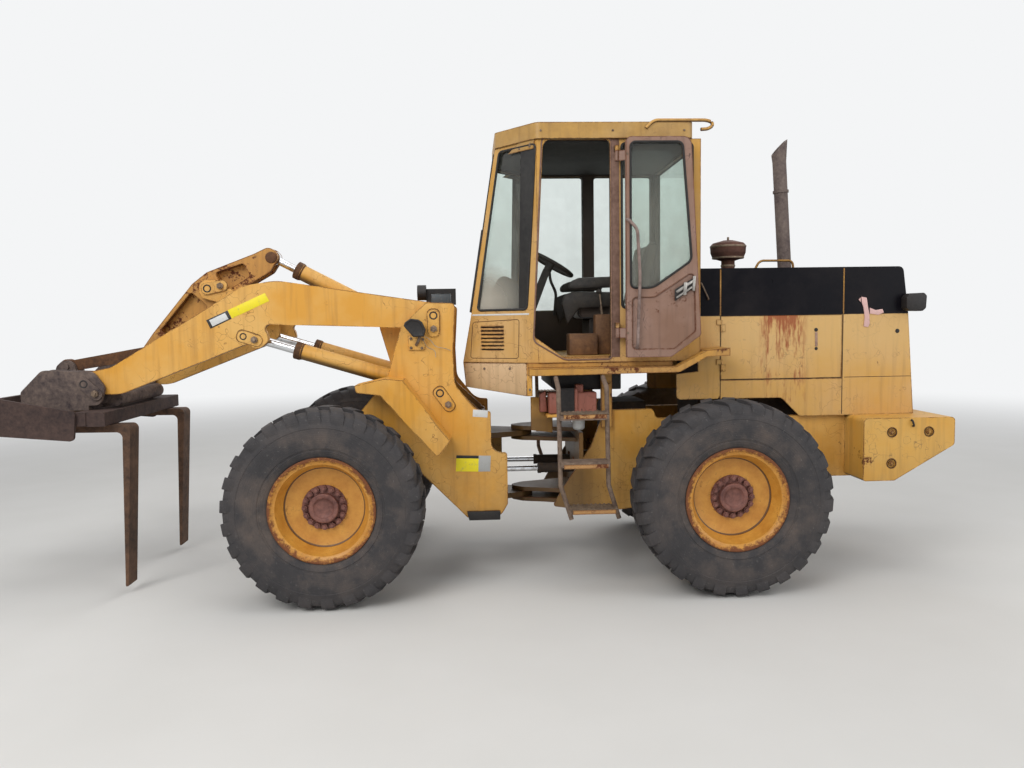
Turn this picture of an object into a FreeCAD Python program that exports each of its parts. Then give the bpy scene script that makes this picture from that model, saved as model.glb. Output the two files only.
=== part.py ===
import FreeCAD, Part
import math
import os
from types import SimpleNamespace

# Wheel loader with pallet forks, articulated at its middle.
# X points forward, Y to the left, Z up. Every outline is drawn from the hitch
# pin at ground level; the whole machine is then moved so that the middle of
# its length lies on the origin.

SIZES = (
    # name, value in mm
    ("front_reach", 3870),
    ("rear_reach", 3075),
    ("half_base", 1380),
    ("half_track", 900),
    ("tyre_radius", 670),
    ("tyre_width", 445),
    ("tread_width", 400),
    ("lug_count", 26),
    ("lug_height", 26),
    ("lug_width", 44),
    ("rim_radius", 318),
    ("rim_flange", 352),
    ("rim_width", 380),
    ("rim_wall", 12),
    ("disc_offset", 40),
    ("disc_plate", 22),
    ("hub_radius", 150),
    ("hub_reach", 125),
    ("nut_circle", 118),
    ("nut_radius", 14),
    ("nut_reach", 20),
    ("hub_gap", 0.5),
    ("axle_radius", 125),
    ("axle_seat", 830),
    ("axle_bowl", 230),
    ("axle_bowl_width", 420),
    ("boom_pin_x", 649),
    ("boom_pin_z", 1937),
    ("lift_base_x", 614),
    ("lift_base_z", 1381),
    ("lift_rod_x", 2002),
    ("lift_rod_z", 1808),
    ("tool_pin_x", 3103),
    ("tool_pin_z", 1492),
    ("crank_pin_x", 2353),
    ("crank_pin_z", 2167),
    ("crank_top_x", 1884),
    ("crank_top_z", 2397),
    ("crank_low_x", 2800),
    ("crank_low_z", 1700),
    ("link_pin_x", 3456),
    ("link_pin_z", 1595),
    ("tilt_base_x", 690),
    ("tilt_base_z", 1770),
    ("pin_radius", 32),
    ("pin_gap", 0.5),
    ("side_gap", 6),
    ("flag_plate", 14),
    ("tower_outer", 530),
    ("tower_inner", 270),
    ("tower_plate", 30),
    ("arm_outer", 485),
    ("arm_plate", 50),
    ("arm_boss", 92),
    ("crank_half", 80),
    ("crank_web", 36),
    ("crank_rim", 26),
    ("cylinder_y", 364),
    ("lift_barrel_radius", 57),
    ("lift_rod_radius", 32),
    ("lift_barrel_end", 1050),
    ("tilt_barrel_radius", 60),
    ("tilt_rod_radius", 30),
    ("tilt_barrel_end", 1110),
    ("gland_length", 45),
    ("gland_step", 7),
    ("eye_radius", 55),
    ("eye_width", 60),
    ("steer_barrel_radius", 36),
    ("steer_rod_radius", 20),
    ("steer_barrel_end", 385),
    ("steer_rear_x", -520),
    ("steer_rear_y", 190),
    ("steer_front_x", 205),
    ("steer_front_y", 215),
    ("steer_z", 760),
    ("steer_ear", 22),
    ("hitch_radius", 110),
    ("hitch_plate", 40),
    ("hitch_pin", 35),
    ("hitch_low", 520),
    ("hitch_high", 1000),
    ("hitch_gap", 5),
    ("rear_half", 450),
    ("rear_plate", 25),
    ("cab_half", 660),
    ("cab_nose", 335),
    ("cab_floor", 1590),
    ("cab_rear", -1245),
    ("cab_post_x", -90),
    ("cab_front_low", 445),
    ("cab_front_high", 185),
    ("glass_base", 1955),
    ("glass_front", 376),
    ("roof_low", 3140),
    ("roof_high", 3250),
    ("roof_overhang", 25),
    ("cab_wall", 35),
    ("glass", 6),
    ("door_gap", 6),
    ("door_wall", 35),
    ("door_hinge_x", -645),
    ("door_hinge_y", 700),
    ("hood_half", 500),
    ("hood_front", -1275),
    ("hood_rear", -2850),
    ("hood_high", 2250),
    ("hood_band", 1905),
    ("hood_low", 1158),
    ("hood_sheet", 14),
    ("engine_door_front", -1444),
    ("engine_door_rear", -2348),
    ("engine_door_low", 1437),
    ("door_axis_x", -1447),
    ("door_axis_y", 508),
    ("panel_gap", 5),
    ("weight_half", 750),
    ("weight_low", 705),
    ("weight_high", 1158),
    ("weight_front", -2405),
    ("platform_half", 760),
    ("platform_high", 1555),
    ("platform_low", 1515),
    ("rise_x", -1266),
    ("rise_z", 1665),
    ("rail_tube", 16),
    ("step_width", 330),
    ("ladder_y", 900),
    ("stack_radius", 52),
    ("stack_high", 3266),
    ("fork_y", 530),
    ("fork_width", 150),
    ("fork_heel", 57),
    ("fork_tip", 19),
    ("fork_bottom", 56),
    ("fork_heel_z", 1207),
    ("fork_rear_x", 2770),
    ("fork_lean", 31),
    ("bar_half", 700),
    ("bar_rear_x", 2900),
    ("bar_depth", 130),
    ("bar_height", 98),
    ("end_plate", 25),
    ("shaft_radius", 32),
    ("shaft_x", 3775),
    ("shaft_z", 1262),
    ("coupler_plate", 28),
    ("coupler_tube", 55),
)

document = FreeCAD.newDocument("WheelLoader")
sheet = document.addObject("Spreadsheet::Sheet", "Sizes")
for row, (name, value) in enumerate(SIZES, start=1):
    sheet.set(f"A{row}", name)
    sheet.set(f"B{row}", str(value))
    sheet.setAlias(f"B{row}", name)
document.recompute()
size = SimpleNamespace(**{name: float(sheet.get(name)) for name, value in SIZES})

Vector = FreeCAD.Vector
middle = (size.rear_reach - size.front_reach) / 2
nodes = {}

# Sketch planes: the plane's role and whether its normal points along its axis.
SIDE = ("XZ_Plane", -1)
PLAN = ("XY_Plane", 1)
FRONT = ("YZ_Plane", 1)


def corner_edges(points):
    """Closed outline; a point is (u, v) or (u, v, corner radius)."""
    count = len(points)
    starts = []
    for index in range(count):
        before = Vector(*points[index - 1][:2], 0)
        here = Vector(*points[index][:2], 0)
        after = Vector(*points[(index + 1) % count][:2], 0)
        radius = points[index][2] if len(points[index]) > 2 else 0
        if radius <= 0:
            starts.append((here, None, here))
            continue
        back = (before - here).normalize()
        ahead = (after - here).normalize()
        half = back.getAngle(ahead) / 2
        reach = radius / math.tan(half)
        centre = here + (back + ahead).normalize() * (radius / math.sin(half))
        middle_point = centre + (here - centre).normalize() * radius
        starts.append((here + back * reach, middle_point, here + ahead * reach))
    edges = []
    for index in range(count):
        enter, crown, leave = starts[index]
        if crown is not None:
            edges.append(Part.Arc(enter, crown, leave))
        following = starts[(index + 1) % count][0]
        if (following - leave).Length > 1e-6:
            edges.append(Part.LineSegment(leave, following))
    return edges


def circle(u, v, radius):
    return [Part.Circle(Vector(u, v, 0), Vector(0, 0, 1), radius)]


def add_sketch(body, name, plane, loops, offset):
    """Sketch on one of the body's own origin planes, moved along its normal."""
    role, sign = plane
    sketch = body.newObject("Sketcher::SketchObject", name)
    base = [item for item in body.Origin.OriginFeatures if item.Role == role][0]
    sketch.AttachmentSupport = [(base, "")]
    sketch.MapMode = "FlatFace"
    if offset is not None:
        sketch.setExpression("AttachmentOffset.Base.z", offset)
    for loop in loops:
        edges = loop if isinstance(loop, list) else corner_edges(loop)
        sketch.addGeometry(edges, False)
    return sketch


def add_slab(body, name, plane, loops, low, high, cut=False):
    """Pad, or pocket, of closed outlines between two heights on the plane's axis."""
    offset = f"-({high})" if plane[1] < 0 else low
    sketch = add_sketch(body, f"{name}_sketch", plane, loops, offset)
    kind = "PartDesign::Pocket" if cut else "PartDesign::Pad"
    feature = body.newObject(kind, name)
    feature.Profile = sketch
    feature.setExpression("Length", f"({high}) - ({low})")
    if cut:
        feature.Reversed = True
    body.Tip = feature
    return feature


def add_turn(body, name, plane, loops, axis):
    """Outline turned round an axis of its own sketch."""
    sketch = add_sketch(body, f"{name}_sketch", plane, loops, None)
    feature = body.newObject("PartDesign::Revolution", name)
    feature.Profile = sketch
    feature.ReferenceAxis = (sketch, [axis])
    feature.Angle = 360
    body.Tip = feature
    return feature


def new_body(label):
    body = document.addObject("PartDesign::Body", label)
    body.Label = label
    return body


def place(item, x=0, y=0, z=0, turn=0):
    """Moves a sub-part from its own drawing to its place; turn is about Y."""
    rotation = FreeCAD.Rotation(Vector(0, 1, 0), turn)
    item.Placement = FreeCAD.Placement(Vector(middle + x, y, z), rotation)
    nodes[item.Label] = item
    return item


def mirrored_pair(item, label):
    """One node made of a sub-part and its mirror image across the centre plane."""
    mirror = document.addObject("Part::Mirroring", f"{label}_mirror")
    mirror.Source = item
    mirror.Normal = Vector(0, 1, 0)
    pair = document.addObject("Part::Compound", label)
    pair.Label = label
    pair.Links = [item, mirror]
    return pair


def save_nodes():
    document.recompute()
    for item in document.Objects:
        if "Invalid" in item.State or "Error" in item.State:
            raise RuntimeError(f"{item.Name} failed: {item.State}")
    os.makedirs("parts", exist_ok=True)
    for label, item in nodes.items():
        shape = item.Shape
        if shape.isNull() or not shape.isValid():
            raise RuntimeError(f"{label} has no valid shape")
        shape.exportStep(f"parts/{label}.step")


# Tyre: hollow carcass of flat bands, open at the bore where the rim sits, with
# two rows of slanted lugs, the right row half a pitch behind the left.
def make_tyre(label, x, side):
    body = new_body(label)
    half = size.tyre_width / 2
    tread = size.tread_width / 2
    outer = size.tyre_radius - size.lug_height
    bead = size.rim_radius + size.hub_gap
    seat = size.rim_width / 2 - size.rim_wall * 3 - size.hub_gap
    flank = (size.rim_flange + size.hub_gap, seat + size.rim_wall * 2)
    outline = (
        (bead, -seat), (flank[0], -flank[1]), (size.rim_flange + 20, -half * 0.88), (outer * 0.76, -half),
        (outer * 0.9, -half * 0.98), (outer * 0.96, -tread), (outer, -tread * 0.9),
        (outer, tread * 0.9), (outer * 0.96, tread), (outer * 0.9, half * 0.98),
        (outer * 0.76, half), (size.rim_flange + 20, half * 0.88), flank, (bead, seat),
        (bead, half * 0.5), (outer * 0.72, half * 0.8), (outer * 0.88, half * 0.7),
        (outer * 0.88, -half * 0.7), (outer * 0.72, -half * 0.8), (bead, -half * 0.5))
    add_turn(body, "carcass", PLAN, [outline], "V_Axis")
    wide = size.lug_width / 2
    low = math.sqrt(size.tyre_radius ** 2 - (wide + 40) ** 2) - size.lug_height * 2.2
    lugs = []
    for row, sweep in ((1, 0), (-1, 180 / size.lug_count)):
        shape = ((-wide, row * 6), (wide, row * 6), (wide + 40, row * tread), (-wide + 40, row * tread))
        sketch = add_sketch(body, f"lug_sketch_{'left' if row > 0 else 'right'}", PLAN, [shape], None)
        turn = FreeCAD.Rotation(Vector(0, 1, 0), sweep)
        sketch.AttachmentOffset = FreeCAD.Placement(turn.multVec(Vector(0, 0, low)), turn)
        lug = body.newObject("PartDesign::Pad", f"lug_{'left' if row > 0 else 'right'}")
        lug.Profile = sketch
        lug.setExpression("Length", "Sizes.lug_height * 2.2")
        lugs.append(lug)
    ring = body.newObject("PartDesign::PolarPattern", "lug_ring")
    ring.Originals = lugs
    ring.Axis = ([item for item in body.Origin.OriginFeatures if item.Role == "Y_Axis"][0], [""])
    ring.Angle = 360
    ring.setExpression("Occurrences", "Sizes.lug_count")
    body.Tip = ring
    place(body, x, side * size.half_track, size.tyre_radius)


for x, end in ((size.half_base, "front"), (-size.half_base, "rear")):
    for side, hand in ((1, "left"), (-1, "right")):
        make_tyre(f"tyre_{end}_{hand}", x, side)


# Rim: one-piece dished wheel, its disc set back from the outer flange, with
# the rusty hub cover and its ring of nuts in the middle.
def make_rim(label, x, side):
    body = new_body(label)
    half = size.rim_width / 2
    seat = size.rim_radius
    wall = size.rim_wall
    disc = size.disc_offset
    hub = size.hub_radius
    rim = (
        (seat - wall, -half), (size.rim_flange, -half), (size.rim_flange, -half + wall),
        (seat, -half + wall * 3), (seat, half - wall * 3), (size.rim_flange, half - wall),
        (size.rim_flange, half), (seat - wall * 2.5, half), (seat - wall * 4, half * 0.45),
        (seat - wall * 6, disc + size.disc_plate), (hub, disc + size.disc_plate),
        (hub, disc), (seat - wall * 4, disc), (seat - wall * 2, -half * 0.3))
    add_turn(body, "dish", PLAN, [rim], "V_Axis")
    cover = (
        (0, disc - 30), (hub + 2, disc - 30), (hub + 2, disc + size.disc_plate + 8),
        (hub * 0.62, disc + size.disc_plate + 14), (hub * 0.5, disc + size.hub_reach, 12),
        (0, disc + size.hub_reach))
    add_turn(body, "hub_cover", PLAN, [cover], "V_Axis")
    face = disc + size.disc_plate
    nut = add_slab(body, "nut", SIDE, [circle(size.nut_circle, 0, size.nut_radius)],
                   f"{face}", f"{face} + Sizes.nut_reach")
    ring = body.newObject("PartDesign::PolarPattern", "nuts")
    ring.Originals = [nut]
    axes = [item for item in body.Origin.OriginFeatures if item.Role == "Y_Axis"]
    ring.Axis = (axes[0], [""])
    ring.Angle = 360
    ring.Occurrences = 16
    body.Tip = ring
    place(body, x, side * size.half_track, size.tyre_radius)
    if side < 0:
        body.Placement.Rotation = FreeCAD.Rotation(Vector(0, 0, 1), 180)


# Axle: one casting from wheel to wheel with the bowl of the final drive and
# the two pads that carry the frame.
def make_axle(label, x):
    body = new_body(label)
    end = size.half_track + size.disc_offset - 30 - size.hub_gap
    bowl = size.axle_bowl
    wide = size.axle_bowl_width / 2
    tube = size.axle_radius
    outline = (
        (0, -end), (tube * 1.15, -end), (tube * 1.15, -end + 140), (tube, -end + 150),
        (tube, -wide), (bowl, -wide * 0.5), (bowl, wide * 0.5), (tube, wide),
        (tube, end - 150), (tube * 1.15, end - 140), (tube * 1.15, end), (0, end))
    add_turn(body, "casting", PLAN, [outline], "V_Axis")
    inside = size.tower_inner
    outside = size.tower_outer
    for side, hand in ((1, "left"), (-1, "right")):
        pad = ((-130, side * inside), (130, side * inside), (130, side * outside), (-130, side * outside))
        add_slab(body, f"pad_{hand}", PLAN, [pad], "0", "Sizes.axle_seat - Sizes.tyre_radius")
    place(body, x, 0, size.tyre_radius)


def both_sides(inner, outer):
    """Expressions for the low and high Y of a plate on each side."""
    return ((1, "left", inner, outer), (-1, "right", f"-({outer})", f"-({inner})"))


def pin(body, name, x, z, radius, low, high):
    return add_slab(body, name, SIDE, [circle(x, z, radius)], low, high)


# Front frame: two towers of an outer and an inner plate, joined by cross
# walls, with the ears of the hitch behind.
def make_front_frame():
    body = new_body("front_frame")
    ax, az = size.boom_pin_x, size.boom_pin_z
    seat = size.axle_seat
    outer_plate = (
        (ax - 155, az + 87, 30), (ax + 51, az + 93, 40), (ax + 232, az - 75, 120),
        (ax + 341, az - 447, 150), (1250, 1180, 80), (1620, 1060, 60), (1640, seat, 60),
        (780, seat, 80), (431, 463, 40), (195, 463, 90), (137, 560, 30), (137, 937, 20),
        (252, 937, 80), (252, 1240, 15), (350, 1240, 140), (508, 1440, 120), (516, 1673))
    inner_plate = (
        (ax - 110, az + 93, 30), (ax + 100, az + 93, 40), (ax + 420, az - 45, 60),
        (ax + 320, az - 400, 120), (1200, 1180, 80), (1620, 1060, 60), (1640, seat, 60),
        (780, seat, 80), (431, 500, 40), (280, 500), (280, 1180, 40), (530, 1420, 120))
    for side, hand, low, high in both_sides("Sizes.tower_outer - Sizes.tower_plate", "Sizes.tower_outer"):
        add_slab(body, f"outer_plate_{hand}", SIDE, [outer_plate], low, high)
    for side, hand, low, high in both_sides("Sizes.tower_inner", "Sizes.tower_inner + Sizes.tower_plate"):
        add_slab(body, f"inner_plate_{hand}", SIDE, [inner_plate], low, high)
    inside = "Sizes.tower_outer - 1"
    walls = (
        # name, outline in x and z
        ("hitch_wall", ((280, 500), (310, 500), (310, 1180), (280, 1180))),
        ("belly", ((431, 505), (470, 505), (800, seat + 10), (800, seat + 40))),
        ("nose_wall", ((1600, seat + 5), (1630, seat + 5), (1612, 1050), (1582, 1050))),
        ("deck", ((1000, 1100), (1290, 1100), (1290, 1125), (1000, 1125))),
    )
    for name, outline in walls:
        add_slab(body, name, SIDE, [outline], f"-({inside})", inside)
    wear = ((196, 512), (434, 512), (420, 450), (196, 450))
    for side, hand, low, high in both_sides("Sizes.tower_outer - 1", "Sizes.tower_outer + 22"):
        add_slab(body, f"wear_bar_{hand}", SIDE, [wear], low, high)
    back = ((590, 1440), (620, 1440), (620, 1700), (590, 1700))
    add_slab(body, "back_wall", SIDE, [back], "-Sizes.tower_inner - 1", "Sizes.tower_inner + 1")
    tongue = ((290, -240), (290, 240), (120, 170), (0, size.hitch_radius, 60),
              (-size.hitch_radius, 0, 70), (0, -size.hitch_radius, 60), (120, -170))
    for name, low in (("low_tongue", "Sizes.hitch_low"), ("high_tongue", "Sizes.hitch_high")):
        add_slab(body, name, PLAN, [tongue, circle(0, 0, size.hitch_pin + size.pin_gap)],
                 low, f"{low} + Sizes.hitch_plate")
    ear = ((285, size.steer_front_y - 60), (285, size.steer_front_y + 60),
           (size.steer_front_x, size.steer_front_y + 40, 30),
           (size.steer_front_x - 45, size.steer_front_y, 30),
           (size.steer_front_x, size.steer_front_y - 40, 30))
    for side, hand in ((1, "left"), (-1, "right")):
        outline = tuple((item[0], side * item[1]) + tuple(item[2:]) for item in ear)
        for name, low in (("low", "Sizes.steer_z - 26 - Sizes.steer_ear"), ("high", "Sizes.steer_z + 26")):
            add_slab(body, f"steer_ear_{name}_{hand}", PLAN, [outline], low, f"{low} + Sizes.steer_ear")
    base = ((615, 1500), (595, 1500), (595, 1690), (size.tilt_base_x - 62, size.tilt_base_z + 62, 60),
            (size.tilt_base_x + 62, size.tilt_base_z + 62, 60), (size.tilt_base_x + 62, size.tilt_base_z - 60, 50))
    half = "(Sizes.tilt_barrel_radius + Sizes.side_gap)"
    for side, hand, low, high in both_sides(half, f"{half} + 25"):
        add_slab(body, f"tilt_lug_{hand}", SIDE, [base], low, high)
    place(body)


# Pins of the tower: arm pivots, lift cylinder bases and the tilt base, each
# with its flag plate bolted to the outer plate.
def make_tower_pins():
    body = new_body("tower_pins")
    radius = size.pin_radius
    pins = (
        # name, x, z, slope of the flag in degrees
        ("boom_pin", size.boom_pin_x, size.boom_pin_z, -90),
        ("lift_pin", size.lift_base_x, size.lift_base_z, -125),
    )
    for name, x, z, slope in pins:
        for side, hand, low, high in both_sides("Sizes.tower_inner + Sizes.tower_plate",
                                                "Sizes.tower_outer - Sizes.tower_plate"):
            pin(body, f"{name}_{hand}", x, z, radius, low, high)
        along = (math.cos(math.radians(slope)), math.sin(math.radians(slope)))
        flag = flag_outline(x, z, along, 112)
        for side, hand, low, high in both_sides("Sizes.tower_outer", "Sizes.tower_outer + Sizes.flag_plate"):
            add_slab(body, f"{name}_flag_{hand}", SIDE, [flag], low, high)
    half = "(Sizes.tilt_barrel_radius + Sizes.side_gap)"
    pin(body, "tilt_pin", size.tilt_base_x, size.tilt_base_z, radius, f"-{half}", half)
    place(body)


def flag_outline(x, z, along, reach):
    """Retainer plate round a pin, running to its bolt."""
    across = (-along[1], along[0])
    wide = 46
    return (
        (x - along[0] * wide + across[0] * wide, z - along[1] * wide + across[1] * wide, 40),
        (x - along[0] * wide - across[0] * wide, z - along[1] * wide - across[1] * wide, 40),
        (x + along[0] * (reach + 38) - across[0] * 40, z + along[1] * (reach + 38) - across[1] * 40, 36),
        (x + along[0] * (reach + 38) + across[0] * 40, z + along[1] * (reach + 38) + across[1] * 40, 36))


# Boom: two arm plates, the cross tube that carries the bellcrank lugs, and
# the inner ears of the lift rods.
def make_boom():
    body = new_body("boom")
    ax, az = size.boom_pin_x, size.boom_pin_z
    bx, bz = size.tool_pin_x, size.tool_pin_z
    dx, dz = size.lift_rod_x, size.lift_rod_z
    gx, gz = size.crank_pin_x, size.crank_pin_z
    arm = (
        (ax, az + size.arm_boss), (dx - 240, dz + 394, 400), (dx - 12, dz + 358, 150),
        (bx - 173, bz + 112, 150), (bx, bz + 80), (bx, bz - 80), (bx - 234, bz - 79, 200),
        (dx - 17, dz - 56, 40), (dx - 102, dz - 96, 60), (dx - 180, dz - 38, 50),
        (dx - 167, dz + 27, 30), (dx - 115, dz + 77, 30), (dx - 190, dz + 82), (ax, az - size.arm_boss))
    inner = "(Sizes.arm_outer - Sizes.arm_plate)"
    for side, hand, low, high in both_sides(inner, "Sizes.arm_outer"):
        add_slab(body, f"arm_{hand}", SIDE, [arm], low, high)
    boss_in = "(Sizes.tower_inner + Sizes.tower_plate + Sizes.side_gap)"
    boss_out = "(Sizes.tower_outer - Sizes.tower_plate - Sizes.side_gap)"
    for side, hand, low, high in both_sides(boss_in, boss_out):
        pin(body, f"boom_boss_{hand}", ax, az, size.arm_boss, low, high)
    tool_in = "(Sizes.arm_outer - Sizes.arm_plate - 8)"
    for side, hand, low, high in both_sides(tool_in, "Sizes.arm_outer + 8"):
        pin(body, f"tool_boss_{hand}", bx, bz, 80, low, high)
    ear = ((dx - 60, dz + 200), (dx + 110, dz + 200), (dx + 75, dz - 20, 50), (dx + 10, dz - 80, 60),
           (dx - 75, dz - 10, 50))
    ear_in = "(Sizes.cylinder_y - Sizes.eye_width / 2 - Sizes.side_gap)"
    for side, hand, low, high in both_sides(f"{ear_in} - 25", ear_in):
        add_slab(body, f"rod_ear_{hand}", SIDE, [ear], low, high)
    tube = ((gx - 368, gz - 192, 30), (gx - 238, gz - 192, 30), (gx - 238, gz - 85, 30), (gx - 368, gz - 85, 30))
    add_slab(body, "cross_tube", SIDE, [tube], f"-({inner} + 1)", f"{inner} + 1")
    lug = ((gx - 340, gz - 175), (gx - 340, gz - 105, 40), (gx - 60, gz + 66, 60), (gx + 66, gz + 66, 60),
           (gx + 66, gz - 66, 60), (gx - 60, gz - 100, 80), (gx - 250, gz - 175, 30))
    lug_in = "(Sizes.crank_half + Sizes.side_gap)"
    for side, hand, low, high in both_sides(lug_in, f"{lug_in} + 35"):
        add_slab(body, f"crank_lug_{hand}", SIDE, [lug], low, high)
    for name, x, z, low, high in (
            ("boom", ax, az, boss_in, boss_out), ("tool", bx, bz, tool_in, "Sizes.arm_outer + 8")):
        for side, hand, start, stop in both_sides(low, high):
            add_slab(body, f"{name}_bore_{hand}", SIDE, [circle(x, z, size.pin_radius + size.pin_gap)],
                     start, stop, cut=True)
    place(body)


# Pins carried by the boom: bellcrank pivot, and the short pins of the lift
# rods' ends in the arms and their inner ears.
def make_boom_pins():
    body = new_body("boom_pins")
    radius = size.pin_radius
    lug = "(Sizes.crank_half + Sizes.side_gap)"
    pin(body, "crank_pin", size.crank_pin_x, size.crank_pin_z, radius + 6, f"-{lug}", lug)
    flag = flag_outline(size.crank_pin_x, size.crank_pin_z, (-0.98, 0.18), 115)
    for side, hand, low, high in both_sides(f"{lug} + 35", f"{lug} + 35 + Sizes.flag_plate"):
        add_slab(body, f"crank_flag_{hand}", SIDE, [flag], low, high)
    flag = flag_outline(size.lift_rod_x, size.lift_rod_z, (-0.95, -0.31), 100)
    for side, hand, low, high in both_sides("Sizes.arm_outer", "Sizes.arm_outer + Sizes.flag_plate / 2"):
        add_slab(body, f"rod_flag_{hand}", SIDE, [flag], low, high)
    place(body)


def between(start, end, along, across=0):
    """Point a distance along, and across, the line between two pins."""
    dx, dz = end[0] - start[0], end[1] - start[1]
    length = math.hypot(dx, dz)
    ux, uz = dx / length, dz / length
    return (start[0] + ux * along - uz * across, start[1] + uz * along + ux * across)


# Bellcrank: cast lever of I section, forked at both ends.
def make_bellcrank():
    body = new_body("bellcrank")
    top = (size.crank_top_x, size.crank_top_z)
    hub = (size.crank_pin_x, size.crank_pin_z)
    low = (size.crank_low_x, size.crank_low_z)
    outline = (
        between(top, hub, -30, 80) + (60,), between(top, hub, -62, -20) + (60,),
        between(top, hub, 60, -92) + (50,), between(hub, low, 60, -110) + (90,),
        between(low, hub, 90, 95) + (60,), between(low, hub, -70, 60) + (60,),
        between(low, hub, -60, -62) + (60,), between(low, hub, 110, -85) + (60,),
        between(hub, low, 60, 118) + (100,), between(hub, top, 40, -118) + (60,),
        between(top, hub, 100, 82) + (60,))
    add_slab(body, "casting", SIDE, [outline], "-Sizes.crank_half", "Sizes.crank_half")
    rim = size.crank_rim
    hollows = (
        ("upper", (between(top, hub, 205, 82 - rim) + (20,), between(top, hub, 205, rim - 78) + (20,),
                   between(hub, top, 95, 75) + (30,), between(hub, top, 95, -88) + (20,))),
        ("lower", (between(low, hub, 165, 92 - rim) + (20,), between(low, hub, 165, rim - 86) + (20,),
                   between(hub, low, 110, 84) + (20,), between(hub, low, 110, -84) + (30,))),
    )
    for name, hollow in hollows:
        for side, hand, start, stop in both_sides("Sizes.crank_web / 2", "Sizes.crank_half + 1"):
            add_slab(body, f"{name}_hollow_{hand}", SIDE, [hollow], start, stop, cut=True)
    slot = "(Sizes.eye_width / 2 + Sizes.side_gap)"
    top_slot = (between(top, hub, -120, 140), between(top, hub, -120, -140),
                between(top, hub, 168, -140), between(top, hub, 168, 140))
    low_slot = (between(low, hub, -120, 140), between(low, hub, -120, -140),
                between(low, hub, 125, -140), between(low, hub, 125, 140))
    for name, outline in (("top", top_slot), ("low", low_slot)):
        add_slab(body, f"{name}_slot", SIDE, [outline], f"-{slot}", slot, cut=True)
    add_slab(body, "hub_bore", SIDE, [circle(*hub, size.pin_radius + 6 + size.pin_gap)],
             "-Sizes.crank_half - 1", "Sizes.crank_half + 1", cut=True)
    pin(body, "low_pin", *low, size.pin_radius, "-Sizes.crank_half", "Sizes.crank_half")
    place(body)


# Tilt link: forged bar with an eye at each end.
def make_tilt_link():
    body = new_body("tilt_link")
    rear = (size.crank_low_x, size.crank_low_z)
    front = (size.link_pin_x, size.link_pin_z)
    half = "Sizes.eye_width / 2"
    bar = (between(rear, front, 0, 46), between(rear, front, 0, -46),
           between(front, rear, 0, 40), between(front, rear, 0, -40))
    add_slab(body, "bar", SIDE, [bar], f"-{half}", half)
    pin(body, "rear_eye", *rear, 62, f"-{half}", half)
    pin(body, "front_eye", *front, size.eye_radius, f"-{half}", half)
    add_slab(body, "rear_bore", SIDE, [circle(*rear, size.pin_radius + size.pin_gap)],
             f"-{half} - 1", f"{half} + 1", cut=True)
    place(body)


# Coupler: hinge plates on the arms' ends, upper ears for the tilt link and a
# face frame that holds the fork carriage.
def make_coupler():
    body = new_body("coupler")
    bx, bz = size.tool_pin_x, size.tool_pin_z
    kx, kz = size.link_pin_x, size.link_pin_z
    outer = "(Sizes.arm_outer + 14)"
    plate = ((bx - 140, bz - 30, 60), (bx - 60, bz + 84, 60), (bx + 290, bz + 100, 60),
             (bx + 440, bz - 50, 30), (bx + 440, bz - 152), (bx - 100, bz - 152, 50))
    for side, hand, low, high in both_sides(outer, f"{outer} + Sizes.coupler_plate"):
        add_slab(body, f"outer_plate_{hand}", SIDE, [plate], low, high)
    inner = "(Sizes.arm_outer - Sizes.arm_plate - 14 - Sizes.coupler_plate)"
    for side, hand, low, high in both_sides(inner, f"{inner} + Sizes.coupler_plate"):
        add_slab(body, f"inner_plate_{hand}", SIDE, [plate], low, high)
    face = ((bx - 20, bz - 185), (bx + 522, bz - 185), (bx + 522, bz - 152), (bx - 20, bz - 152))
    add_slab(body, "face_frame", SIDE, [face], f"-({outer} + Sizes.coupler_plate)",
             f"{outer} + Sizes.coupler_plate")
    pin(body, "cross_tube", bx - 143, bz - 118, size.coupler_tube, f"-({inner} + 1)", f"{inner} + 1")
    web = ((bx - 160, bz - 178), (bx, bz - 178), (bx, bz - 130), (bx - 120, bz - 100))
    for side, hand, low, high in both_sides("270", "300"):
        add_slab(body, f"tube_web_{hand}", SIDE, [web], low, high)
    ear = ((kx - 130, bz - 160), (kx - 70, kz + 20, 60), (kx, kz + 62, 60), (kx + 66, kz, 50),
           (kx + 80, bz - 160))
    slot = "(Sizes.eye_width / 2 + 8)"
    for side, hand, low, high in both_sides(slot, f"{slot} + 30"):
        add_slab(body, f"link_ear_{hand}", SIDE, [ear], low, high)
        add_slab(body, f"link_pin_{hand}", SIDE, [circle(kx, kz, size.pin_radius)],
                 f"{low} + {'30' if side > 0 else '-14'}", f"{low} + {'44' if side > 0 else '0'}")
    pin_in = "Sizes.arm_outer - Sizes.arm_plate - 14"
    for side, hand, low, high in both_sides(pin_in, outer):
        pin(body, f"tool_pin_{hand}", bx, bz, size.pin_radius, low, high)
    flag = flag_outline(bx, bz, (-0.74, -0.67), 112)
    for side, hand, low, high in both_sides(f"{outer} + Sizes.coupler_plate",
                                            f"{outer} + Sizes.coupler_plate + Sizes.flag_plate"):
        add_slab(body, f"tool_flag_{hand}", SIDE, [flag], low, high)
    place(body)


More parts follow.
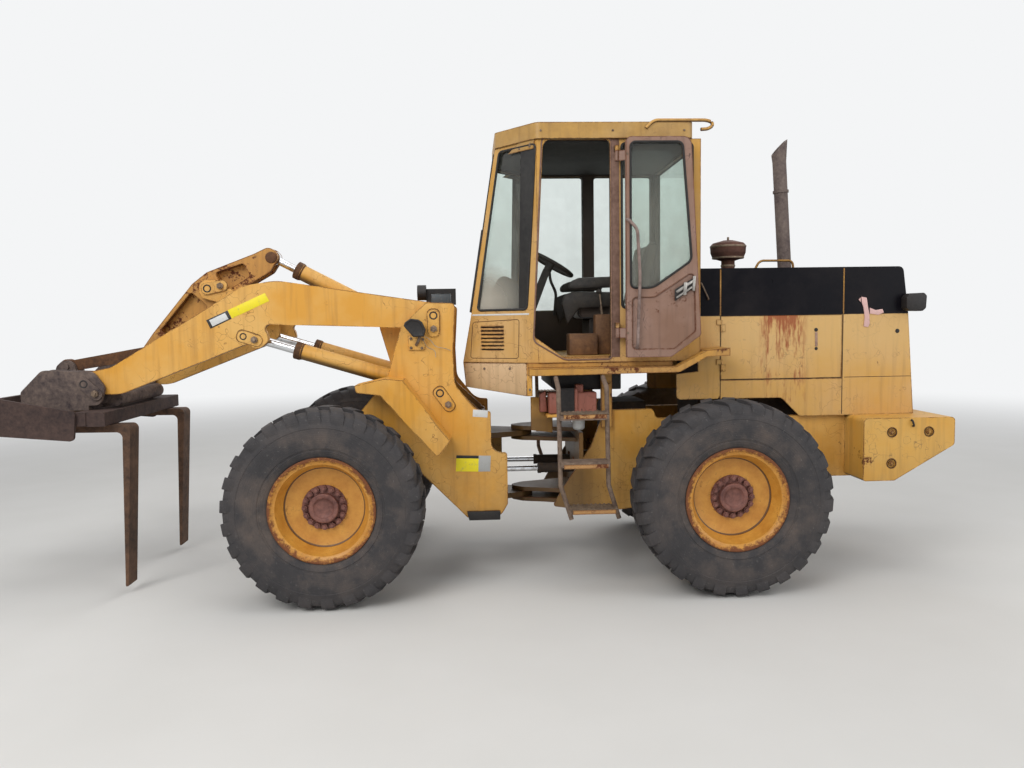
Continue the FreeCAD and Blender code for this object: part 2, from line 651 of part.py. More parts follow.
# Carriage: bottom bar, end plates, top shaft and the hook lugs that the
# coupler holds.
def make_carriage():
    body = new_body("carriage")
    rear, low = size.bar_rear_x, size.fork_heel_z + 2
    front, high = rear + size.bar_depth, low + size.bar_height
    bar = ((rear, low, 8), (front, low, 8), (front, high, 8), (rear, high, 8))
    add_slab(body, "bottom_bar", SIDE, [bar], "-Sizes.bar_half", "Sizes.bar_half")
    web = ((front - 5, low + 5), (front + 75, low + 5), (front + 75, high), (front - 5, high))
    edge = "(Sizes.bar_half + 8)"
    add_slab(body, "bar_web", SIDE, [web], f"-{edge}", edge)
    reach = size.front_reach
    plate = ((front + 70, low - 96, 30), (reach, low - 25, 60), (reach, low + 262, 60), (front + 50, low + 105, 30))
    for side, hand, start, stop in both_sides(edge, f"{edge} + Sizes.end_plate"):
        add_slab(body, f"end_plate_{hand}", SIDE, [plate], start, stop)
    pin(body, "top_shaft", size.shaft_x, size.shaft_z, size.shaft_radius, f"-{edge}", edge)
    top = ((size.shaft_x - 150, low + 115), (size.shaft_x - 110, low + 115), (size.shaft_x - 110, low + 200),
           (size.shaft_x - 150, low + 200))
    add_slab(body, "top_bar", SIDE, [top], f"-{edge}", edge)
    place(body)


# Forks: forged L tines hung on the top shaft, blades pointing to the ground
# with the tool tipped fully forward.
def make_forks():
    body = new_body("forks")
    heel, bottom = size.fork_heel_z, size.fork_bottom
    rear, lean = size.fork_rear_x, size.fork_lean
    front = rear + size.fork_heel
    sx, sz = size.shaft_x, size.shaft_z
    tine = (
        (rear, heel, 40), (rear + lean + size.fork_heel - size.fork_tip, bottom, 4),
        (front + lean, bottom, 4), (front, heel - 52, 40), (sx - 60, heel - 45, 20), (sx + 50, sz - 60, 30),
        (sx + 56, sz + 30, 40), (sx - 20, sz + 58, 40), (sx - 80, heel, 40))
    for side, hand, low, high in both_sides("Sizes.fork_y - Sizes.fork_width / 2",
                                            "Sizes.fork_y + Sizes.fork_width / 2"):
        add_slab(body, f"tine_{hand}", SIDE, [tine, circle(sx, sz, size.shaft_radius + size.pin_gap)],
                 low, high)
    place(body)


# Cylinder barrel, drawn along X from its base eye: tube, gland and eye.
def make_barrel(label, start, end, y, radius, reach, pin_radius):
    body = new_body(label)
    gland = size.gland_length
    step = size.gland_step
    bore = pin_radius + size.pin_gap
    eye = radius * 0.95
    rod = size.lift_rod_radius if radius == size.lift_barrel_radius else size.tilt_rod_radius
    wall = rod + size.pin_gap
    tube = ((eye * 0.6, 0), (eye * 0.6, radius), (reach, radius), (reach, radius + step),
            (reach + gland, radius + step), (reach + gland, wall), (140, wall), (140, 0))
    add_turn(body, "tube", PLAN, [tube], "H_Axis")
    half = f"{radius - 5}"
    add_slab(body, "eye", SIDE, [circle(0, 0, eye)], f"-{half}", half)
    add_slab(body, "eye_bore", SIDE, [circle(0, 0, bore)], f"-{half} - 1", f"{half} + 1", cut=True)
    return place_along(body, start, end, y)


# Steering cylinder: barrel on the rear frame, rod on the front frame, lying
# flat, so its eyes stand on vertical pins.
def make_steering(side, hand):
    start = (size.steer_rear_x, side * size.steer_rear_y)
    end = (size.steer_front_x, side * size.steer_front_y)
    length = math.hypot(end[0] - start[0], end[1] - start[1])
    turn = FreeCAD.Rotation(Vector(0, 0, 1), math.degrees(math.atan2(end[1] - start[1], end[0] - start[0])))
    radius, rod = size.steer_barrel_radius, size.steer_rod_radius
    reach = size.steer_barrel_end
    half = "23"
    bore = 16 + size.pin_gap
    barrel = new_body(f"steer_barrel_{hand}")
    tube = ((24, 0), (24, radius), (reach, radius), (reach, radius + 4), (reach + 25, radius + 4),
            (reach + 25, rod + size.pin_gap), (70, rod + size.pin_gap), (70, 0))
    add_turn(barrel, "tube", PLAN, [tube], "H_Axis")
    add_slab(barrel, "eye", PLAN, [circle(0, 0, 34)], f"-{half}", half)
    add_slab(barrel, "eye_bore", PLAN, [circle(0, 0, bore)], f"-{half} - 1", f"{half} + 1", cut=True)
    place(barrel, start[0], start[1], size.steer_z)
    barrel.Placement.Rotation = turn
    shaft = new_body(f"steer_rod_{hand}")
    body = ((-length + 225, 0), (-26, 0), (-26, rod), (-length + 225, rod))
    add_turn(shaft, "rod", PLAN, [body], "H_Axis")
    add_slab(shaft, "eye", PLAN, [circle(0, 0, 34)], f"-{half}", half)
    place(shaft, end[0], end[1], size.steer_z)
    shaft.Placement.Rotation = turn


# Cylinder rod, drawn backwards along X from its end eye into the barrel.
def make_rod(label, start, end, y, radius, reach, eye):
    body = new_body(label)
    length = math.hypot(end[0] - start[0], end[1] - start[1])
    rod = ((-length + reach, 0), (-eye * 0.7, 0), (-eye * 0.7, radius), (-length + reach, radius))
    add_turn(body, "rod", PLAN, [rod], "H_Axis")
    half = f"{size.eye_width / 2}"
    add_slab(body, "eye", SIDE, [circle(0, 0, eye)], f"-{half}", half)
    return place_along(body, start, end, y, at_end=True)


def place_along(item, start, end, y, at_end=False):
    slope = math.degrees(math.atan2(end[1] - start[1], end[0] - start[0]))
    x, z = end if at_end else start
    return place(item, x, y, z, -slope)


# Rear frame: two side plates with an arch over the axle, cross walls, the
# hitch fork with its pins, and the ears of the steering cylinders.
def make_rear_frame():
    body = new_body("rear_frame")
    seat = size.axle_seat
    plate = ((size.weight_front + 0.3, size.hood_low), (size.weight_front + 0.3, size.weight_high - 60),
             (-2600, size.weight_high - 60), (-2600, 690), (-2250, 690, 60), (-1900, seat, 80), (-1000, seat, 60),
             (-900, 500, 60), (-560, 460, 40), (-200, 515, 15), (-270, 640, 30), (-490, 960, 80),
             (-590, 1225, 60), (-950, 1228, 30), (-975, size.hood_low, 30))
    edge = "(Sizes.rear_half)"
    for side, hand, low, high in both_sides(f"{edge} - Sizes.rear_plate", edge):
        add_slab(body, f"side_plate_{hand}", SIDE, [plate], low, high)
    inside = f"({edge} - 1)"
    walls = (
        ("hitch_wall", ((-430, 480), (-400, 480), (-400, 1060), (-430, 1060))),
        ("mid_wall", ((-980, 520), (-950, 520), (-950, 1140), (-980, 1140))),
        ("engine_wall", ((-2300, 700), (-2275, 700), (-2275, 1140), (-2300, 1140))),
        ("axle_deck", ((-1600, 905), (-1160, 905), (-1160, 930), (-1600, 930))),
    )
    for name, outline in walls:
        add_slab(body, name, SIDE, [outline], f"-{inside}", inside)
    for side, hand in ((1, "left"), (-1, "right")):
        inner, outer = side * (size.steer_rear_y - 72), side * (size.steer_rear_y + 78)
        opening = ((inner, size.steer_z - 58, 20), (outer, size.steer_z - 58, 20),
                   (outer, size.steer_z + 58, 20), (inner, size.steer_z + 58, 20))
        add_slab(body, f"cylinder_window_{hand}", FRONT, [opening], "-440", "-390", cut=True)
    fork = ((-405, -260), (-405, 260), (-130, 150, 60), (0, size.hitch_radius, 60),
            (size.hitch_radius, 0, 70), (0, -size.hitch_radius, 60), (-130, -150, 60))
    gap = "Sizes.hitch_gap"
    levels = (
        ("low_under", f"Sizes.hitch_low - {gap} - 30", f"Sizes.hitch_low - {gap}"),
        ("low_over", f"Sizes.hitch_low + Sizes.hitch_plate + {gap}",
         f"Sizes.hitch_low + Sizes.hitch_plate + {gap} + 30"),
        ("high_under", f"Sizes.hitch_high - {gap} - 30", f"Sizes.hitch_high - {gap}"),
        ("high_over", f"Sizes.hitch_high + Sizes.hitch_plate + {gap}",
         f"Sizes.hitch_high + Sizes.hitch_plate + {gap} + 30"),
    )
    for name, low, high in levels:
        add_slab(body, f"fork_{name}", PLAN, [fork], low, high)
    for name, base in (("low", "Sizes.hitch_low"), ("high", "Sizes.hitch_high")):
        add_slab(body, f"hitch_pin_{name}", PLAN, [circle(0, 0, size.hitch_pin)],
                 f"{base} - {gap} - 1", f"{base} + Sizes.hitch_plate + {gap} + 1")
    sx, sy = size.steer_rear_x, size.steer_rear_y
    for side, hand in ((1, "left"), (-1, "right")):
        ear = ((sx - 60, side * (sy - 60)), (sx + 130, side * (sy - 60)), (sx + 40, side * sy, 30),
               (sx, side * (sy + 40), 30), (sx - 60, side * (sy + 40)))
        for name, low in (("low", "Sizes.steer_z - 46 - Sizes.steer_ear"), ("high", "Sizes.steer_z + 46")):
            add_slab(body, f"steer_ear_{name}_{hand}", PLAN, [ear], low, f"{low} + Sizes.steer_ear")
        add_slab(body, f"steer_pin_{hand}", PLAN, [circle(sx, side * sy, 16)],
                 "Sizes.steer_z - 47", "Sizes.steer_z + 47")
    rest = ((sx - 60, -sy - 40), (sx - 60, sy + 40), (sx - 90, sy + 40), (sx - 90, -sy - 40))
    add_slab(body, "steer_beam", PLAN, [rest], "Sizes.steer_z - 120", "Sizes.steer_z + 120")
    for side, hand in ((1, "left"), (-1, "right")):
        arm = ((sx - 90, side * (sy + 39)), (sx - 60, side * (sy + 39)), (sx - 60, side * (size.rear_half - 1)),
               (sx - 90, side * (size.rear_half - 1)))
        add_slab(body, f"steer_arm_{hand}", PLAN, [arm], "Sizes.steer_z - 120", "Sizes.steer_z + 120")
    place(body)


# Counterweight: thick casting across the rear, its lower rear edge chamfered,
# with the pocket and bore of the towing pin.
def make_counterweight():
    body = new_body("counterweight")
    low, high = size.weight_low, size.weight_high
    rear, front = -size.rear_reach, size.weight_front
    outline = ((front, high, 30), (front, low, 20), (rear + 440, low, 20), (rear, high - 200, 30), (rear, high, 30))
    add_slab(body, "casting", SIDE, [outline], "-Sizes.weight_half", "Sizes.weight_half")
    room = ((front + 1, low - 1), (front + 1, high - 60), (front - 210, high - 60), (front - 210, low - 1))
    add_slab(body, "frame_room", SIDE, [room], "-Sizes.rear_half - 1", "Sizes.rear_half + 1", cut=True)
    jaw = ((rear - 1, -70), (rear - 1, 70), (rear + 130, 70, 60), (rear + 130, -70, 60))
    add_slab(body, "tow_jaw", PLAN, [jaw], "Sizes.weight_high - 130", "Sizes.weight_high - 60", cut=True)
    add_slab(body, "tow_bore", PLAN, [circle(rear + 70, 0, 20)], "Sizes.weight_high - 190",
             "Sizes.weight_high + 1", cut=True)
    for x, z in ((-2612, 1055), (-2884, 1055), (-2612, 830)):
        for side, hand, start, stop in both_sides("Sizes.weight_half - 12", "Sizes.weight_half + 1"):
            add_slab(body, f"bolt_seat_{int(-x)}_{z}_{hand}", SIDE, [circle(x, z, 34)], start, stop, cut=True)
    place(body)


# Engine: one plain block between the frame plates under the hood.
def make_engine():
    body = new_body("engine")
    outline = ((-2270, 930), (-1330, 930), (-1330, 1650), (-2270, 1650))
    add_slab(body, "block", SIDE, [outline], "-300", "300")
    place(body)


# Transmission: housing on the centre line below the cab.
def make_transmission():
    body = new_body("transmission")
    outline = ((-950, 700), (-640, 640, 60), (-640, 1260, 60), (-950, 1260))
    add_slab(body, "housing", SIDE, [outline], "-210", "210")
    place(body)


# Hood: bent sheet over the engine, open below, with the sloping rear edge.
def make_hood():
    body = new_body("hood")
    front, rear = size.hood_front, size.hood_rear
    band, top = size.hood_band, size.hood_high
    wall = size.hood_sheet
    half = size.hood_half
    outline = ((front, band), (rear, band), (rear + 45, top, 40), (front, top))
    add_slab(body, "shell", SIDE, [outline], "-Sizes.hood_half", "Sizes.hood_half")
    room = ((front + 1, band - 1), (rear + wall, band - 1), (rear + 45 + wall, top - wall), (front + 1, top - wall))
    add_slab(body, "room", SIDE, [room], "-(Sizes.hood_half - Sizes.hood_sheet)",
             "Sizes.hood_half - Sizes.hood_sheet", cut=True)
    place(body)


# Shrouds: fixed side sheets ahead of and behind the engine doors and below
# them, with the rear grille frame.
def make_shrouds():
    body = new_body("shrouds")
    low, band = size.hood_low, size.hood_band
    door_front, door_rear = size.engine_door_front, size.engine_door_rear
    gap = size.panel_gap
    side_sheets = (
        ("front", ((-1116, 1296, 30), (-1116, 1483), (size.hood_front, 1500), (size.hood_front, band),
                   (door_front + gap, band), (door_front + gap, 1296, 30))),
        ("low", ((door_front + gap, 1296), (door_front + gap, size.engine_door_low - gap),
                 (door_rear - gap - 20, size.engine_door_low - gap), (door_rear - gap - 20, low),
                 (-2035, low, 60), (-1900, 1296, 60))),
        ("rear", ((door_rear - gap, low), (door_rear - gap, band), (size.hood_rear, band),
                  (size.hood_rear - 54, low))),
    )
    for name, outline in side_sheets:
        for side, hand, start, stop in both_sides("Sizes.hood_half - Sizes.hood_sheet", "Sizes.hood_half"):
            add_slab(body, f"{name}_{hand}", SIDE, [outline], start, stop)
    frame = ((size.hood_rear, band), (size.hood_rear - 54, low), (size.hood_rear - 40, low),
             (size.hood_rear + 14, band))
    add_slab(body, "grille_frame", SIDE, [frame], "-(Sizes.hood_half - 1)", "Sizes.hood_half - 1")
    wide = size.hood_half - 70
    opening = ((-wide, low + 80, 30), (wide, low + 80, 30), (wide, band - 60, 30), (-wide, band - 60, 30))
    add_slab(body, "grille_opening", FRONT, [opening], "Sizes.hood_rear - 60", "Sizes.hood_rear + 20", cut=True)
    for row in range(10):
        z = low + 112 + row * 58
        x = size.hood_rear - 54 * (band - z) / (band - low)
        bar = ((x + 1, z), (x + 12, z), (x + 12, z + 22), (x + 3, z + 22))
        add_slab(body, f"grille_bar_{row}", SIDE, [bar], f"-{wide + 1}", f"{wide + 1}")
    axis_x = size.door_axis_x
    for side, hand in ((1, "left"), (-1, "right")):
        axis_y = side * size.door_axis_y
        leaf = ((axis_x + 9, side * (size.hood_half - 1)), (axis_x + 36, side * (size.hood_half - 1)),
                (axis_x + 36, axis_y), (axis_x, axis_y + side * 4), (axis_x, axis_y))
        for name, height in (("low", 1550), ("high", 1840)):
            add_slab(body, f"knuckle_{name}_{hand}", PLAN, [circle(axis_x, axis_y, 7)],
                     f"{height} + 0.3", f"{height} + 36")
            add_slab(body, f"leaf_{name}_{hand}", PLAN, [leaf], f"{height} + 0.3", f"{height} + 36")
    place(body)


# Engine doors: one folded sheet on each side, hinged at its front edge.
def make_engine_door(side, hand):
    body = new_body(f"engine_door_{hand}")
    front, rear = size.engine_door_front, size.engine_door_rear
    low, high = size.engine_door_low, size.hood_band - size.panel_gap
    outline = ((front, low), (front, high), (rear, high), (rear, low))
    for other, name, start, stop in both_sides("Sizes.hood_half - Sizes.hood_sheet", "Sizes.hood_half"):
        if other == side:
            add_slab(body, "sheet", SIDE, [outline], start, stop)
    axis = (size.door_axis_x, side * size.door_axis_y)
    leaf = ((axis[0] - 28, side * (size.hood_half - 1)), (axis[0] - 28, axis[1]), (axis[0], axis[1]),
            (axis[0], side * (size.hood_half - 1)))
    for name, height in (("low", 1500), ("high", 1790)):
        add_slab(body, f"knuckle_{name}", PLAN, [circle(*axis, 7)], f"{height}", f"{height} + 50")
        add_slab(body, f"leaf_{name}", PLAN, [leaf], f"{height}", f"{height} + 50")
    place(body)


def cab_section(height, inset):
    """Plan outline of the cab at a height, narrowing to its sloping nose."""
    if height <= size.glass_base:
        share = (height - size.cab_floor) / (size.glass_base - size.cab_floor)
        front = size.cab_front_low + share * (size.glass_front - size.cab_front_low)
    else:
        share = (height - size.glass_base) / (size.roof_low - size.glass_base)
        front = size.glass_front + share * (size.cab_front_high - size.glass_front)
    half, nose, post = size.cab_half - inset, size.cab_nose - inset * 0.6, size.cab_post_x
    rear, front = size.cab_rear + inset, front - inset
    return ((rear, -half), (post, -half), (front, -nose), (front, nose), (post, half), (rear, half))


def add_loft(body, name, heights, inset, cut=False):
    sketches = []
    for height in heights:
        sketches.append(add_sketch(body, f"{name}_{int(height)}", PLAN, [cab_section(height, inset)],
                                   f"{height}"))
    kind = "PartDesign::SubtractiveLoft" if cut else "PartDesign::AdditiveLoft"
    feature = body.newObject(kind, name)
    feature.Profile = sketches[0]
    feature.Sections = sketches[1:]
    feature.Ruled = True
    body.Tip = feature
    return feature


def add_windows(body, prefix, cut):
    """The cab's window openings, as pockets of its walls or as solids."""
    low, high = size.glass_base + 15, size.roof_low - 30
    rear, post = size.cab_rear, size.cab_post_x
    front_side = ((post + 75, low, 20), (size.glass_front - 45, low, 20), (size.cab_front_high - 30, high, 20),
                  (post + 5, high, 20))
    rear_side = ((rear + 60, low, 30), (rear + 60, high, 30), (size.door_hinge_x - 40, high, 30),
                 (size.door_hinge_x - 40, low, 30))
    mid_side = ((size.door_hinge_x + 50, low, 30), (size.door_hinge_x + 50, high, 30), (post - 50, high, 30),
                (post + 10, low, 30))
    outside = "Sizes.cab_half + 5"
    sides = (
        ("nose_left", front_side, "Sizes.cab_nose - 40", outside),
        ("nose_right", front_side, f"-({outside})", "-(Sizes.cab_nose - 40)"),
        ("rear_left", rear_side, "Sizes.cab_half - 60", outside),
        ("rear_right", rear_side, f"-({outside})", "-(Sizes.cab_half - 60)"),
        ("mid_right", mid_side, f"-({outside})", "-(Sizes.cab_half - 60)"),
    )
    for name, outline, start, stop in sides:
        add_slab(body, f"{prefix}_{name}", SIDE, [outline], start, stop, cut=cut)
    shield = size.cab_nose - 45
    add_slab(body, f"{prefix}_shield", FRONT,
             [((-shield, low, 30), (shield, low, 30), (shield, high, 30), (-shield, high, 30))],
             "100", "500", cut=cut)
    back = size.cab_half - 70
    add_slab(body, f"{prefix}_back", FRONT,
             [((-back, low, 30), (back, low, 30), (back, high, 30), (-back, high, 30))],
             "Sizes.cab_rear - 5", "Sizes.cab_rear + 60", cut=cut)


def door_outline(gap):
    """Door opening in the closed position, drawn smaller by a gap all round."""
    hinge, post = size.door_hinge_x, size.cab_post_x
    low, high = size.cab_floor + 28, size.roof_low - 2
    return ((hinge + 42 + gap, low + gap, 10), (hinge + 42 + gap, high - gap, 40), (post - 48 - gap, high - gap, 60),
            (post + 25 - gap, low + 155, 30), (post - 190, low + gap, 30))


# Cab frame: folded steel shell with floor, posts and sills, all windows cut
# and the left doorway open.
def make_cab_frame():
    body = new_body("cab_frame")
    heights = (size.cab_floor, size.glass_base, size.roof_low)
    add_loft(body, "shell", heights, 0)
    inner = (size.cab_floor + 40, size.glass_base, size.roof_low + 1)
    add_loft(body, "room", inner, size.cab_wall, cut=True)
    add_windows(body, "window", True)
    for row in range(7):
        z = 1680 + row * 27
        louvre = ((148, z), (308, z), (308, z + 10), (148, z + 10))
        for side, hand, start, stop in both_sides("Sizes.cab_nose - 60", "Sizes.cab_half"):
            add_slab(body, f"louvre_{row}_{hand}", SIDE, [louvre], start, stop, cut=True)
    add_slab(body, "doorway", SIDE, [door_outline(0)], "Sizes.cab_half - 70", "Sizes.cab_half + 5", cut=True)
    apron = ((5, 1360), (430, 1435), (size.cab_front_low, size.cab_floor + 1), (-10, size.cab_floor + 1))
    for side, hand, low, high in both_sides("Sizes.cab_nose - 30", "Sizes.cab_nose"):
        add_slab(body, f"apron_{hand}", SIDE, [apron], low, high)
    axis = (size.door_hinge_x, size.door_hinge_y)
    bracket = ((axis[0] - 15, size.cab_half - 5), (axis[0] - 15, axis[1] + 15, 14),
               (axis[0] + 15, axis[1] + 15, 14), (axis[0] + 15, size.cab_half - 5))
    for name, height in (("low", 1830), ("high", 3050)):
        add_slab(body, f"hinge_{name}", PLAN, [bracket], f"{height} + 0.3", f"{height} + 36")
    place(body)


def make_cab_glass():
    shell = new_body("glass_shell")
    heights = (size.cab_floor, size.glass_base, size.roof_low)
    add_loft(shell, "outer", heights, 14)
    add_loft(shell, "inner", heights, 14 + size.glass, cut=True)
    openings = new_body("window_openings")
    add_windows(openings, "pane", False)
    glass = document.addObject("Part::Common", "cab_glass")
    glass.Label = "cab_glass"
    glass.Base = shell
    glass.Tool = openings
    place(glass)


# Roof: thick cap that overhangs the posts.
def make_cab_roof():
    body = new_body("cab_roof")
    over = size.roof_overhang
    half, nose = size.cab_half + over, size.cab_nose + over
    outline = ((size.cab_rear + 60, -half, 40), (size.cab_post_x, -half, 60), (size.cab_front_high, -nose, 60),
               (size.cab_front_high, nose, 60), (size.cab_post_x, half, 60), (size.cab_rear + 60, half, 40))
    slab = add_slab(body, "cap", PLAN, [outline], "Sizes.roof_low", "Sizes.roof_high")
    place(body)


# Cab door, folded back against the cab's side: frame with the window cut and
# a shallow inner recess.
def make_cab_door():
    body = new_body("cab_door")
    hinge = size.door_hinge_x
    outline = tuple((2 * hinge - item[0],) + tuple(item[1:]) for item in door_outline(size.door_gap))
    inner = 2 * size.door_hinge_y - size.cab_half
    low, high = f"{inner}", f"{inner} + Sizes.door_wall"
    add_slab(body, "panel", SIDE, [outline], low, high)
    window = ((-725, 2105, 20), (-725, 3095, 30), (-1085, 3095, 40), (-1150, 2290, 40), (-880, 2105, 60))
    add_slab(body, "window", SIDE, [window], f"{low} - 1", f"{high} + 1", cut=True)
    recess = ((-735, 1680, 30), (-735, 2040, 30), (-890, 2040, 40), (-1170, 2220, 30), (-1180, 1800, 30),
              (-1030, 1680, 30))
    add_slab(body, "recess", SIDE, [recess], f"{high} - 10", f"{high} + 1", cut=True)
    for name, height in (("low", 1760), ("high", 2980)):
        add_slab(body, f"knuckle_{name}", PLAN, [circle(hinge, size.door_hinge_y, 15)], f"{height}",
                 f"{height} + 70")
        leaf = ((hinge, size.door_hinge_y - 4), (hinge, size.door_hinge_y + 4),
                (hinge - 70, inner + 4), (hinge - 70, inner - 4))
        add_slab(body, f"leaf_{name}", PLAN, [leaf], f"{height}", f"{height} + 70")
    place(body)
    pane = new_body("cab_door_glass")
    add_slab(pane, "pane", SIDE, [window], f"{low} + 14", f"{low} + 14 + Sizes.glass")
    place(pane)


# Seat: cushion, back rest and arm rest on a box pedestal.
def make_seat():
    body = new_body("seat")
    floor = "Sizes.cab_floor + 40"
    add_slab(body, "pedestal", SIDE, [((-880, size.cab_floor + 40), (-520, size.cab_floor + 40), (-520, 1900, 20),
                                       (-880, 1900, 20))], "-190", "190")
    place(body)
    cushion = new_body("seat_cushion")
    outline = ((-930, 1900), (-440, 1900, 40), (-420, 2010, 60), (-830, 1995, 60), (-960, 2480, 50), (-1060, 2470, 50),
               (-960, 1960, 60))
    add_slab(cushion, "cushion", SIDE, [outline], "-240", "240")
    place(cushion)


# Console: dashboard behind the windscreen with the steering column and wheel.
def make_console():
    body = new_body("console")
    dash = ((-60, size.cab_floor + 40), (300, size.cab_floor + 40), (300, 1960), (150, 2250, 60), (30, 2180, 40),
            (-60, 1900, 40))
    add_slab(body, "dash", SIDE, [dash], "-230", "230")
    column = ((-60, 1800), (20, 1800), (-190, 2290), (-240, 2270))
    add_slab(body, "column", SIDE, [column], "-30", "30")
    wheel = document.addObject("Part::Torus", "wheel_rim")
    wheel.Radius1 = 185
    wheel.Radius2 = 15
    wheel.Placement = FreeCAD.Placement(Vector(-250, 0, 2330), FreeCAD.Rotation(Vector(0, 1, 0), -30))
    spoke = document.addObject("Part::Box", "wheel_spoke")
    spoke.Length, spoke.Width, spoke.Height = 370, 30, 14
    turn = FreeCAD.Rotation(Vector(0, 1, 0), -30)
    spoke.Placement = FreeCAD.Placement(Vector(-250, 0, 2330) + turn.multVec(Vector(-185, -15, -7)), turn)
    hub = document.addObject("Part::Cylinder", "wheel_hub")
    hub.Radius, hub.Height = 32, 70
    hub.Placement = FreeCAD.Placement(Vector(-250, 0, 2330) + turn.multVec(Vector(0, 0, -60)), turn)
    whole = document.addObject("Part::MultiFuse", "console_all")
    whole.Shapes = [body, wheel, spoke, hub]
    whole.Label = "console_and_wheel"
    place(whole)


# Platform: folded channel along each side at the cab's foot.
def make_platforms():
    body = new_body("platform_left")
    high, low = size.platform_high, size.platform_low
    rise_x, rise_z = size.rise_x, size.rise_z
    channel = ((-12, high), (-1050, high), (-1070, low), (-12, low - 10))
    add_slab(body, "channel", SIDE, [channel], "Sizes.cab_half - 200", "Sizes.platform_half")
    rise = ((-1040, high), (-1050, high), (rise_x, rise_z), (rise_x, rise_z - 45), (-1070, low), (-1040, low))
    add_slab(body, "rise", SIDE, [rise], "Sizes.cab_half + Sizes.panel_gap", "Sizes.platform_half")
    pad = ((rise_x + 5, rise_z), (size.door_axis_x + 17, rise_z + 15), (size.door_axis_x + 17, rise_z - 40),
           (rise_x + 5, rise_z - 45))
    add_slab(body, "pad", SIDE, [pad], "Sizes.hood_half + 0.3", "Sizes.platform_half")
    top = ((-12, high - 1), (-1050, high - 1), (-1050, size.cab_floor), (-12, size.cab_floor))
    add_slab(body, "tread", SIDE, [top], "Sizes.cab_half - 200", "Sizes.cab_half - 10")
    bracket = ((-640, 1100), (-560, 1100), (-560, low + 1), (-640, low + 1))
    add_slab(body, "bracket", SIDE, [bracket], "Sizes.rear_half", "Sizes.rear_half + 40")
    pair = mirrored_pair(body, "platforms")
    place(pair)


def tube_between(points, radius):
    """Round tube along straight runs joined by tangent arcs."""
    edges = []
    previous = Vector(*points[0][:3])
    for index in range(1, len(points) - 1):
        before, here, after = (Vector(*points[index + step][:3]) for step in (-1, 0, 1))
        bend = points[index][3]
        back = (before - here).normalize()
        ahead = (after - here).normalize()
        half = back.getAngle(ahead) / 2
        reach = bend / math.tan(half)
        centre = here + (back + ahead).normalize() * (bend / math.sin(half))
        enter, leave = here + back * reach, here + ahead * reach
        edges.append(Part.LineSegment(previous, enter).toShape())
        edges.append(Part.Arc(enter, centre + (here - centre).normalize() * bend, leave).toShape())
        previous = leave
    last = Vector(*points[-1][:3])
    edges.append(Part.LineSegment(previous, last).toShape())
    path = Part.Wire(edges)
    first = Vector(*points[0][:3])
    ring = Part.Wire([Part.Circle(first, Vector(*points[1][:3]) - first, radius).toShape()])
    return path.makePipeShell([ring], True, False)


# Ladder: two bent tube rails with three folded steps below each platform.
def make_ladders():
    solids = []
    y, radius = size.ladder_y, size.rail_tube
    rails = []
    for x in (-200, -200 - size.step_width):
        rail = tube_between(((x, size.platform_half - 20, size.platform_low - 23.6), (x, y, 1430, 40),
                             (x - 10, y, 760, 60), (x - 85, y - 20, 520)), radius)
        rails.append(rail)
    shape = rails[0].fuse(rails[1])
    for z, x, shift in ((1235, -202, 0), (915, -206, 0), (590, -262, -14)):
        step = Part.makeBox(size.step_width, 150, 34, Vector(x - size.step_width, y + shift - 60, z - 17))
        hollow = Part.makeBox(size.step_width - 40, 126, 34, Vector(x - size.step_width + 20, y + shift - 48, z - 21))
        shape = shape.fuse(step.cut(hollow))
    ladder = document.addObject("Part::Feature", "ladder_left")
    ladder.Shape = shape.removeSplitter()
    place(mirrored_pair(ladder, "ladders"))


# Exhaust stack, leaning forward, with its flared and slanted mouth.
def make_stack():
    body = new_body("exhaust_stack")
    radius = size.stack_radius
    tall = size.stack_high - size.hood_high
    outline = ((0, 0.5), (radius + 22, 0.5), (radius + 22, 12), (radius, 12), (radius, tall * 0.6),
               (radius + 8, tall * 0.6), (radius + 8, tall * 0.6 + 20), (radius, tall * 0.6 + 20),
               (radius, tall - 170), (radius + 16, tall), (radius + 4, tall), (radius - 8, tall - 170),
               (radius - 8, 40), (0, 40))
    add_turn(body, "pipe", SIDE, [outline], "V_Axis")
    mouth = ((-140, tall + 77), (140, tall - 193), (140, tall + 90), (-140, tall + 90))
    add_slab(body, "slant", SIDE, [mouth], "-120", "120", cut=True)
    place(body, -2112, 0, size.hood_high + 4.8, 3.5)


# Pre-cleaner bowl on the air intake neck.
def make_precleaner():
    body = new_body("precleaner")
    outline = ((0, 0.5), (52, 0.5), (52, 88), (118, 108, 12), (135, 150, 20), (138, 205), (120, 226, 15), (40, 248),
               (0, 250))
    add_turn(body, "bowl", SIDE, [outline], "V_Axis")
    place(body, -1655, 0, size.hood_high)


# Fender brackets: two folded plates over the rear of each front tyre.
def make_fenders():
    body = new_body("fender_left")
    axle, hub = size.half_base, size.tyre_radius
    strip = ((axle - 520, hub + 822), (axle - 395, hub + 836), (axle - 191, hub + 792), (axle - 193, hub + 780),
             (axle - 395, hub + 824), (axle - 512, hub + 809), (axle - 740, hub + 480), (axle - 825, hub + 382),
             (axle - 840, hub + 392), (axle - 755, hub + 495))
    add_slab(body, "fold", SIDE, [strip], "Sizes.tower_outer", "Sizes.tower_outer + 230")
    lip = ((axle - 512, hub + 810), (axle - 755, hub + 495), (axle - 828, hub + 380), (axle - 748, hub + 280, 20),
           (axle - 363, hub + 721, 30), (axle - 198, hub + 742, 20), (axle - 193, hub + 780),
           (axle - 395, hub + 825))
    add_slab(body, "lip", SIDE, [lip], "Sizes.tower_outer + 215", "Sizes.tower_outer + 230")
    place(mirrored_pair(body, "fender_brackets"))


